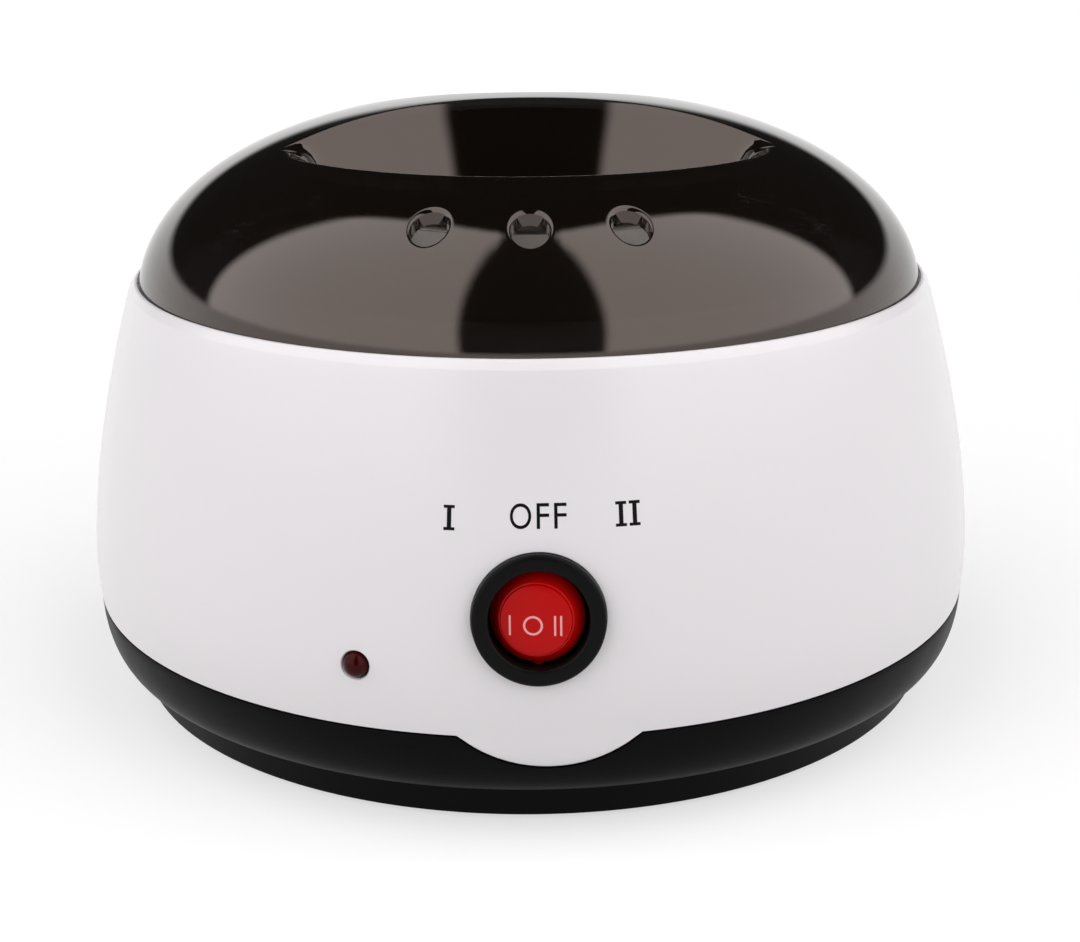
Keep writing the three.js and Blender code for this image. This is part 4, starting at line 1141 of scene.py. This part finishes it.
def lid_shell(skin, inset):
    """Crown and ring of one skin. Returns the ring's rows, their radii and angles."""
    loop = crown(skin, inset)
    circle = dish_radius + inset
    rise = lid_top - inset - dome_start
    first = math.asin((dome_height(circle + 2, inset) - dome_start) / rise)
    last = math.asin((lid_bottom + (0 if inset else rim_bevel) - dome_start) / rise)
    radii = [circle + d for d in (0.2, 0.5, 0.9, 1.4)]
    for k in range(dome_rings + 1):
        height = dome_start + rise * math.sin(first + (last - first) * k / dome_rings)
        radii.append(dome_radius(height, inset))
    rows = [[point for _, point, _ in loop]]
    for r in radii:
        points = []
        for angle, _, share in loop:
            top = dome_height(r, inset)
            z = top + (soft_lower(top, dish_height(r, inset), fillet) - top) * share
            points.append((r * math.cos(angle), r * math.sin(angle), z))
        rows.append(skin.row(points))
    return rows, [circle] + radii, [math.degrees(angle) for angle, _, _ in loop]


# %% [markdown]
# Near its front edge the dome has three round vents. They are made as the housing's holes are,
# with a window in the rings of both skins, and a rounded lip, because a moulded hole is never
# quite sharp. A rounded rim below joins the two skins.

# %% Lid
vent_radius = 3.35
vent_offset = 64.45
vent_spread = 15.3
lid_turn = -0.5


def vent(skin, skins, radii, angles, turn):
    """One round vent at a turn from the front. Returns its window in the rings."""
    bearing = math.radians(turn)
    spot = Vector((vent_offset * math.sin(bearing), -vent_offset * math.cos(bearing), 0))
    right = Vector((math.cos(bearing), math.sin(bearing), 0))
    out = spot.normalized()
    angle = 270 + turn
    reach = math.degrees((vent_radius + 1.3) / vent_offset)
    margin = vent_radius + 1.1
    window = (*around_spot(radii, vent_offset - margin, vent_offset + margin),
              *around_spot(angles, angle - reach, angle + reach))

    def at(radius, a):
        return spot + right * radius * math.cos(a) + out * radius * math.sin(a)

    def coords_of(point):
        return math.degrees(math.atan2(point[0], -point[1])), math.hypot(point[0], point[1])

    def face(inset):
        return lambda a, r: (r * math.sin(math.radians(a)), -r * math.cos(math.radians(a)),
                             dome_height(r, inset))

    def rim(radius):
        return lambda a: coords_of(at(radius, a))

    def lip(radius, drop):
        def place(a):
            point = at(radius, a)
            return point + Vector((0, 0, dome_height(math.hypot(point.x, point.y)) - drop))
        return place

    lining = [lip(vent_radius + 0.38, 0.04), lip(vent_radius + 0.16, 0.16),
              lip(vent_radius + 0.04, 0.38), lip(vent_radius, 0.6)]
    pierce(skin, skins, window, (turn, vent_offset), coords_of, (face(0), face(lid_wall)),
           (rim(vent_radius + 0.6), rim(vent_radius)), lining)
    return window


def lid_skin():
    skin = Skin()
    outer, radii, angles = lid_shell(skin, 0)
    inner = lid_shell(skin, lid_wall)[0]
    windows = [vent(skin, (outer, inner), radii, angles, side * vent_spread)
               for side in (-1, 0, 1)]
    grid_faces(skin, outer, True, windows)
    grid_faces(skin, inner, True, windows)
    rim_angles = [math.radians(a) for a in angles]
    edge = [skin.row([(r * math.cos(a), r * math.sin(a), z) for a in rim_angles])
            for r, z in [(dome_radius(lid_bottom + 0.15), lid_bottom + 0.12),
                         (dome_radius(lid_bottom) - 0.15, lid_bottom + 0.02),
                         (dome_radius(lid_bottom) - 0.4, lid_bottom)]]
    skin.bands([outer[-1]] + edge + [inner[-1]])
    return skin


lid = lid_skin().piece("lid_shell", 50, Matrix.Rotation(math.radians(lid_turn), 4, "Z"))
settle(lid, "lid_smoke", "lid", "lid")

# %% [markdown]
# The pot lifts out of the heating well. Both are spun aluminium, so both are turned from a profile,
# and the well gets its lugs and studs as closed bodies of their own.

# %% Pot and well
pot_profile = rounded([(0, 26.7, 0), (56.2, 26.7, 11), (56.2, 83.7, 0.3), (61.7, 83.7, 0.2),
                       (61.7, 82.7, 0.1), (62.9, 82.7, 0.2), (62.9, 84.9, 1.1), (55, 84.9, 0.7),
                       (55, 27.9, 10), (0, 27.9, 0)], 10)
settle(turned("pot_shell", pot_profile, 160), "pot_aluminium", "pot", "wax_pot")

well_profile = rounded([(0, 25.2, 0), (58.5, 25.2, 11.5), (58.5, 68.8, 0.3), (62, 68.8, 0.3),
                        (62, 69.8, 0.3), (57.5, 69.8, 0.5), (57.5, 26.2, 10.5), (0, 26.2, 0)], 10)
stud_profile = [(0, 16.2), (1.2, 16.2), (1.4, 16.4), (1.4, 25.6), (0, 25.6)]
lug_profile = rounded([(1.55, 68.85, 0.1), (4.6, 68.85, 0.2), (4.6, 69.75, 0.2),
                       (1.55, 69.75, 0.1)])
well = Skin()
turn_into(well, well_profile, 160)
add_posts(well, stud_profile, 2, 13, 90)
add_posts(well, stud_profile, 1, 35, 180)
add_posts(well, lug_profile, 3, lug_circle, lug_turn)
settle(well.piece("well_shell"), "well_aluminium", "heater", "heating_well")

# %% [markdown]
# The handle is a wire bent to a bow, with its ends turned in through the ears. Another tree gives
# a path its round section, as a wire follows a bending jig, with the wire's size and finish as
# inputs.

# %% Wire on a path
def wire_tree():
    tree, given = new_tree("wire_on_a_path", {"Path": "Object", "Wire radius": "Float",
                                              "Sides": "Int", "Finish": "Material"})
    source = add(tree, "GeometryNodeObjectInfo", {"Object": given["Path"]})
    path = add(tree, "GeometryNodeMeshToCurve", {"Mesh": source.outputs["Geometry"]})
    section = add(tree, "GeometryNodeCurvePrimitiveCircle",
                  {"Resolution": given["Sides"], "Radius": given["Wire radius"]})
    wire = add(tree, "GeometryNodeCurveToMesh",
               {"Curve": path.outputs[0], "Profile Curve": section.outputs[0], "Fill Caps": True})
    return end_tree(tree, wire.outputs[0], given["Finish"])


WIRE = wire_tree()


def wire_on(name, points, radius, slot, sides=24):
    mesh = bpy.data.meshes.new(name + "_path")
    links = [(k, k + 1) for k in range(len(points) - 1)]
    mesh.from_pydata([Vector(point) * MM for point in points], links, [])
    path = bpy.data.objects.new(name + "_path", mesh)
    bpy.context.scene.collection.objects.link(path)
    return from_tree(name, WIRE, {"Path": path, "Wire radius": radius * MM, "Sides": sides,
                                  "Finish": FINISHES[slot]}, path)


pivot_height = 88.9
ear_face = 57.4
ear_thickness = 1.2
pin_reach = 2.2
wire_radius = 1.47
arm = ear_face + pin_reach + 1.5
pin_end = ear_face - ear_thickness - pin_reach
bend_size = 3.0


def bent(start, corner, end, steps=8):
    start, corner, end = Vector(start), Vector(corner), Vector(end)
    return [start * (1 - t) ** 2 + corner * 2 * t * (1 - t) + end * t ** 2
            for t in (k / steps for k in range(steps + 1))]


path = [(pin_end, 0, pivot_height)]
path += bent((arm - bend_size, 0, pivot_height), (arm, 0, pivot_height),
             (arm, bend_size, pivot_height))
path += [(arm * math.cos(math.pi * k / 72), bend_size + arm * math.sin(math.pi * k / 72),
          pivot_height) for k in range(1, 72)]
path += bent((-arm, bend_size, pivot_height), (-arm, 0, pivot_height),
             (bend_size - arm, 0, pivot_height))
path += [(-pin_end, 0, pivot_height)]
handle = wire_on("handle_wire", path, wire_radius, "handle_steel")
settle(handle, "handle_steel", "handle", "pot_handle")

# %% [markdown]
# The switch is a round rocker in a thick bezel. Bezel and barrel are one turned piece, with two
# snap wings. The rocker is another, tilted on its pivot because it stands pressed at its left
# mark.

# %% Switch
body_profile = rounded([(0, -15, 0), (9.8, -15, 0.4), (9.8, 0.35, 0), (11.25, 0.35, 0.15),
                        (11.25, 2.49, 0.95), (8.4, 2.49, 0.6), (8.4, -7.5, 0.3), (0, -7.5, 0)], 6)
wing_profile = [(9, -6.7), (9.8, -6.7), (10.6, -2.75), (9, -2.75)]
wing_length = 5
bezel = Skin()
turn_into(bezel, body_profile, 128)
bezel.points = [switch_place @ Vector(point) for point in bezel.points]
wing_place = (switch_place @ Matrix.Rotation(math.pi / 2, 4, "X")
              @ Matrix.Translation((0, 0, -wing_length / 2)))
for side in (1, -1):
    bezel.prism(wing_place, [(side * x, z) for x, z in wing_profile][::side], 0, wing_length)
settle(bezel.piece("switch_bezel"), "switch_black", "heater", "switch_body")

rocker_tilt = 6.0
pivot_depth = 3.0
rocker_place = (switch_place @ Matrix.Translation((0, 0, -pivot_depth))
                @ Matrix.Rotation(math.radians(-rocker_tilt), 4, "Y")
                @ Matrix.Translation((0, 0, pivot_depth)))
face_edge = 5.95
face_base = 1.15
face_rise = 0.6


def crown_height(r):
    """Height of the rocker's crowned face over its frame's zero."""
    share = min(1.0, r / (face_edge + 0.6))
    return face_base + face_rise * math.sqrt(1 - share * share)


rocker_profile = rounded([(0, -5, 0), (7.85, -5, 0.3), (7.95, -1.3, 0.4), (6.3, 0.95, 0.15),
                          (6.05, 0.95, 0.08), (face_edge, 1.3, 0)], 5)
rocker_profile += [Vector((r, crown_height(r))) for r in (5.9, 5.8, 5.6, 5.2, 4.6, 3.9, 3, 2, 1, 0)]
rocker = Skin()
turn_into(rocker, rocker_profile, 128)
pins = len(rocker.points)
turn_into(rocker, [(0, -9.4), (0.8, -9.4), (1, -9.2), (1, 9.2), (0.8, 9.4), (0, 9.4)], 24)
upright = Matrix.Translation((0, 0, -pivot_depth)) @ Matrix.Rotation(math.pi / 2, 4, "X")
rocker.points[pins:] = [upright @ Vector(point) for point in rocker.points[pins:]]
rocker.points = [rocker_place @ Vector(point) for point in rocker.points]
settle(rocker.piece("rocker_shell"), "rocker_red", "rocker", "switch_rocker")

# %% [markdown]
# The rocker's marks are printed in pink: a ring, a stroke and a pair of strokes. An image could
# draw them, but a print that is a thin body of its own stays sharp from near by and keeps its
# shape in the exported model. Each is a strip of rows that is carried onto the crowned face.

# %% Marks on the rocker
def print_on(skin, face, rows, closed=False, height=0.025, depth=0.06):
    """A thin print: rows of (left, right) points carried onto a face by face(x, y, height)."""
    made = []
    for (x0, y0), (x1, y1) in rows:
        made.append(skin.row([face(x0, y0, height), face(x1, y1, height),
                              face(x1, y1, -depth), face(x0, y0, -depth)]))
    skin.bands(made, looped=closed)
    if not closed:
        skin.faces += [made[0][::-1], made[-1]]


def bar_rows(x, y, width, height, steps=8):
    levels = [y + height * (k / steps - 0.5) for k in range(steps + 1)]
    return [((x - width / 2, level), (x + width / 2, level)) for level in levels]


def on_rocker(x, y, height):
    return rocker_place @ Vector((x, y, crown_height(math.hypot(x, y)) + height))


marks_height = -0.85
ring_centre = -0.5
ring_outer = 1.65
ring_inner = 1.28
marks = Skin()
for x in (-4.35, 3.15, 4.15):
    print_on(marks, on_rocker, bar_rows(x, marks_height, 0.34, 3.4))
turns_of_ring = [(math.cos(math.pi * k / 24), math.sin(math.pi * k / 24)) for k in range(48)]
ring_rows = [((ring_centre + ring_outer * c, marks_height + ring_outer * s),
              (ring_centre + ring_inner * c, marks_height + ring_inner * s))
             for c, s in turns_of_ring]
print_on(marks, on_rocker, ring_rows, closed=True)
settle(marks.piece("rocker_marks"), "print_pink", "rocker")

# %% [markdown]
# The words over the switch are printed in black. The plain word comes from Blender's own font and
# the two marks beside it have slab serifs, so they are drawn from bars. All are bent onto the
# wall.

# %% Printed words
def on_front(turn, height):
    return lambda x, y, out: wall_point(turn + math.degrees(x / wall_radius(height)),
                                        height + y, -out)


def slab_mark(skin, turn, height, centres):
    face = on_front(turn, height)
    for x in centres:
        for y in (-1.8, 1.8):
            print_on(skin, face, bar_rows(x, y, 1.85, 0.5, 2), height=0.02)
        print_on(skin, face, bar_rows(x, 0, 0.72, 3.1), height=0.02)


words = Skin()
slab_mark(words, -9.7, 57.6, [0])
slab_mark(words, 9.9, 57.9, [-1.15, 1.15])
settle(words.piece("slab_marks"), "print_black", "heater")


def letter_on_wall(name, text, turn, height, width, tall):
    """A letter of a width and height, printed on the wall at a turn from the front."""
    curve = bpy.data.curves.new(name, "FONT")
    curve.body = text
    curve.resolution_u = 8
    curve.extrude = 0.01
    source = bpy.data.objects.new(name, curve)
    bpy.context.scene.collection.objects.link(source)
    graph = bpy.context.evaluated_depsgraph_get()
    mesh = bpy.data.meshes.new_from_object(source.evaluated_get(graph))
    bpy.data.objects.remove(source)
    xs = [v.co.x for v in mesh.vertices]
    ys = [v.co.y for v in mesh.vertices]
    left, right, low, high = min(xs), max(xs), min(ys), max(ys)
    face = on_front(turn, height)
    for v in mesh.vertices:
        x = (v.co.x - (left + right) / 2) / (right - left) * width
        y = (v.co.y - (low + high) / 2) / (high - low) * tall
        v.co = Vector(face(x, y, 0.02 if v.co.z > 0 else -0.08)) * MM
    return finished(name, mesh)


word_height = 58.05
letter_height = 4.15
for name, letter, turn, width in [("letter_o", "O", -1.88, 3.5), ("letter_f", "F", 0.55, 2.05),
                                  ("letter_f_2", "F", 2.46, 2.05)]:
    printed = letter_on_wall(name, letter, turn, word_height, width, letter_height)
    settle(printed, "print_black", "heater")

# %% [markdown]
# The lamp is a small domed lens with two leads behind it, and the gland at the back is a rubber
# bush with a rim on both sides of the wall. Both are turned.

# %% Lamp and gland
lamp_back = rounded([(0, -6.4, 0), (2.8, -6.4, 0.2), (2.8, -5.4, 0.1), (lamp_radius, -5.4, 0)])
lamp_dome = [Vector((lamp_radius * math.cos(math.radians(a)),
                     -0.4 + lamp_radius * math.sin(math.radians(a)))) for a in range(0, 90, 8)]
lead_profile = [(0, -15.4), (0.4, -15.3), (0.4, -6.2), (0, -6.2)]
lamp = Skin()
turn_into(lamp, lamp_back + lamp_dome + [Vector((0, 1.9))], 48)
add_posts(lamp, lead_profile, 2, 1.25, 90, 16)
settle(lamp.piece("lamp_lens", 35, lamp_place), "lamp_red", "heater", "indicator_lamp")

gland_profile = rounded([(3.3, -4.1, 0.3), (6, -4.1, 0.4), (6.6, -2.7, 0.2), (5.4, -2.7, 0.2),
                         (5.4, 0.35, 0.2), (gland_flange, 0.35, 0.2), (gland_flange, 2.049, 0.7),
                         (3.3, 2.049, 0.6)])
gland = turned("gland_bush", gland_profile, 96, 35, gland_place)
settle(gland, "foot_rubber", "heater", "cord_gland")

# %% [markdown]
# The ears, nuts, brackets and blades have the right shapes already. Real pressed parts have a small
# radius on every edge, so a merged copy of each gets a bevel and stands for its node.

# %% Eased edges on the pressed pieces
def eased(node, body, width):
    source = frame["nodes"][node]
    mesh = source.data.copy()
    shell = bmesh.new()
    shell.from_mesh(mesh)
    bmesh.ops.remove_doubles(shell, verts=shell.verts, dist=0.002 * MM)
    bmesh.ops.dissolve_limit(shell, angle_limit=math.radians(1), verts=shell.verts,
                             edges=shell.edges)
    sharp = [edge for edge in shell.edges
             if len(edge.link_faces) == 2 and edge.calc_face_angle() > math.radians(40)]
    bmesh.ops.bevel(shell, geom=sharp, offset=width * MM, segments=2, affect="EDGES",
                    clamp_overlap=True)
    shell.to_mesh(mesh)
    shell.free()
    settle(finished(node + "_eased", mesh, 30), slots[node], body, node)


for node in ("pot_ear_right", "pot_ear_left"):
    eased(node, "pot", 0.15)
for node in ("thermostat_bracket", "fuse_strap", "bracket_nut_1", "bracket_nut_2", "strap_nut",
             "band_nut", "switch_terminal_left", "switch_terminal_middle",
             "switch_terminal_right", "thermostat"):
    eased(node, "heater", 0.1)

# %% [markdown]
# Gloss plastic shows what stands round it, and the smoked lid mirrors a tall soft window of light
# to each side, with dark between them. Area lamps could stand there, but then the level would
# hang on their distance. Here the windows are drawn on the world. Each side of a window is a
# great circle on the sky, which the eye sees as a straight line, and a soft step across it parts
# light from dark.

# %% Windows of light
WINDOW_LIGHT = 1.76
DARK_LIGHT = 0.015
# For each side: turn where it leaves the horizon, its top, which half is lit, and its softness.
WINDOW_SIDES = [(19, 84.5, -1, 0.03), (131, 89, 1, 0.03), (101, 70.5, 1, 0.04)]


def side_normal(turn, top, flip):
    """Normal of the great circle that leaves the horizon at a turn and climbs to a top."""
    low = Vector((math.sin(turn), -math.cos(turn), 0))
    high_turn = turn + math.pi / 2
    high = Vector((math.cos(top) * math.sin(high_turn), -math.cos(top) * math.cos(high_turn),
                   math.sin(top)))
    return low.cross(high) * flip


def lit_half(tree, direction, normal, soft):
    across = add(tree, "ShaderNodeVectorMath", {0: direction, 1: tuple(normal)},
                 operation="DOT_PRODUCT")
    return ranged(tree, across.outputs["Value"], -soft, soft, kind="SMOOTHSTEP")


world = bpy.data.worlds.new("studio")
bpy.context.scene.world = world
world.use_nodes = True
tree = world.node_tree
direction = add(tree, "ShaderNodeTexCoord").outputs["Generated"]
parts = add(tree, "ShaderNodeSeparateXYZ", {0: direction}).outputs
across = add(tree, "ShaderNodeMath", {0: parts["X"]}, operation="ABSOLUTE")
mirrored = add(tree, "ShaderNodeCombineXYZ",
               {"X": across.outputs[0], "Y": parts["Y"], "Z": parts["Z"]}).outputs[0]
window = WINDOW_LIGHT - DARK_LIGHT
for turn, top, flip, soft in WINDOW_SIDES:
    normal = side_normal(math.radians(turn), math.radians(top), flip)
    window = times(tree, lit_half(tree, mirrored, normal, soft), window)
light = add(tree, "ShaderNodeMath", {0: window, 1: DARK_LIGHT}, operation="ADD").outputs[0]
print("window light", WINDOW_LIGHT, "dark light", DARK_LIGHT)

# %% [markdown]
# The heater stands before a seamless pale ground. More light would whiten it, but would bleach
# the heater too, so its white is for some rays only. To the camera the world is plain white. To
# rays that gloss or glass has thrown on, it is white where they run low, as a backdrop is, and
# higher up they meet the windows and the dark. The light that falls on the heater comes from the
# windows, and from the floor that they light.

# %% White backdrop
BACKDROP_TOP = 0.2
BACKDROP_FULL = 0.12


def background_rays(tree, share=1.0):
    """1 for the camera's rays, and a share of 1 for rays that gloss or glass has thrown on."""
    rays = add(tree, "ShaderNodeLightPath").outputs
    thrown = either(tree, rays["Is Glossy Ray"], rays["Is Transmission Ray"])
    return either(tree, rays["Is Camera Ray"], times(tree, thrown, share))


backdrop = ranged(tree, parts["Z"], BACKDROP_TOP, BACKDROP_FULL, kind="SMOOTHSTEP")
strength = blended(tree, background_rays(tree, backdrop), light, 1.0)
background = tree.nodes["Background"]
background.inputs["Color"].default_value = (1, 1, 1, 1)
tree.links.new(strength, background.inputs["Strength"])
print("backdrop up to", round(math.degrees(math.asin(BACKDROP_TOP)), 1), "degrees")

# %% [markdown]
# The floor is a wide grey disc that keeps the heater's shadow. For the camera, and in gloss and
# glass, it glows as well, so that it is as white as the backdrop, without throwing more light on
# the heater.

# %% Floor
FLOOR_GREY = 0.45
FLOOR_GLOW = 0.6
floor_skin = Skin()
rows = [floor_skin.row(ring_of(radius, 0, 96)) for radius in (0, 120, 300, 800, 2000, 8000)]
floor_skin.bands(rows)
floor = floor_skin.piece("floor")
floor_finish = bpy.data.materials.new("floor_white")
floor_finish.use_nodes = True
tree = floor_finish.node_tree
paper = tree.nodes["Principled BSDF"]
paper.inputs["Base Color"].default_value = (FLOOR_GREY, FLOOR_GREY, FLOOR_GREY, 1)
paper.inputs["Roughness"].default_value = 0.9
paper.inputs["Specular IOR Level"].default_value = 0.0
paper.inputs["Emission Color"].default_value = (1, 1, 1, 1)
glow = times(tree, background_rays(tree), FLOOR_GLOW)
tree.links.new(glow, paper.inputs["Emission Strength"])
floor.data.materials.append(floor_finish)
floor.location.z = -0.1 * MM

# %% [markdown]
# The camera stands where the photograph was taken from: 368 mm from the heater's axis, 157 mm
# over the table, a little to the left, and looking 18 degrees down.

# %% Camera
camera_distance = 368
camera_height = 157.2
camera_turn = math.radians(0.71)
aim_turn = math.radians(0.3)
aim_tilt = math.radians(72.03)
camera_roll = math.radians(-0.4)
camera_data = bpy.data.cameras.new("camera")
camera_data.sensor_width = 36
camera_data.lens = 60.89
camera_data.clip_start = 0.01
camera = bpy.data.objects.new("camera", camera_data)
bpy.context.scene.collection.objects.link(camera)
camera.location = Vector((-camera_distance * math.sin(camera_turn),
                          -camera_distance * math.cos(camera_turn), camera_height)) * MM
aim = Matrix.Rotation(-camera_turn - aim_turn, 3, "Z") @ Matrix.Rotation(aim_tilt, 3, "X")
camera.rotation_euler = (aim @ Matrix.Rotation(camera_roll, 3, "Z")).to_euler()
bpy.context.scene.camera = camera
bpy.context.scene.view_settings.view_transform = "Standard"
print("camera at", [round(value / MM, 1) for value in camera.location])
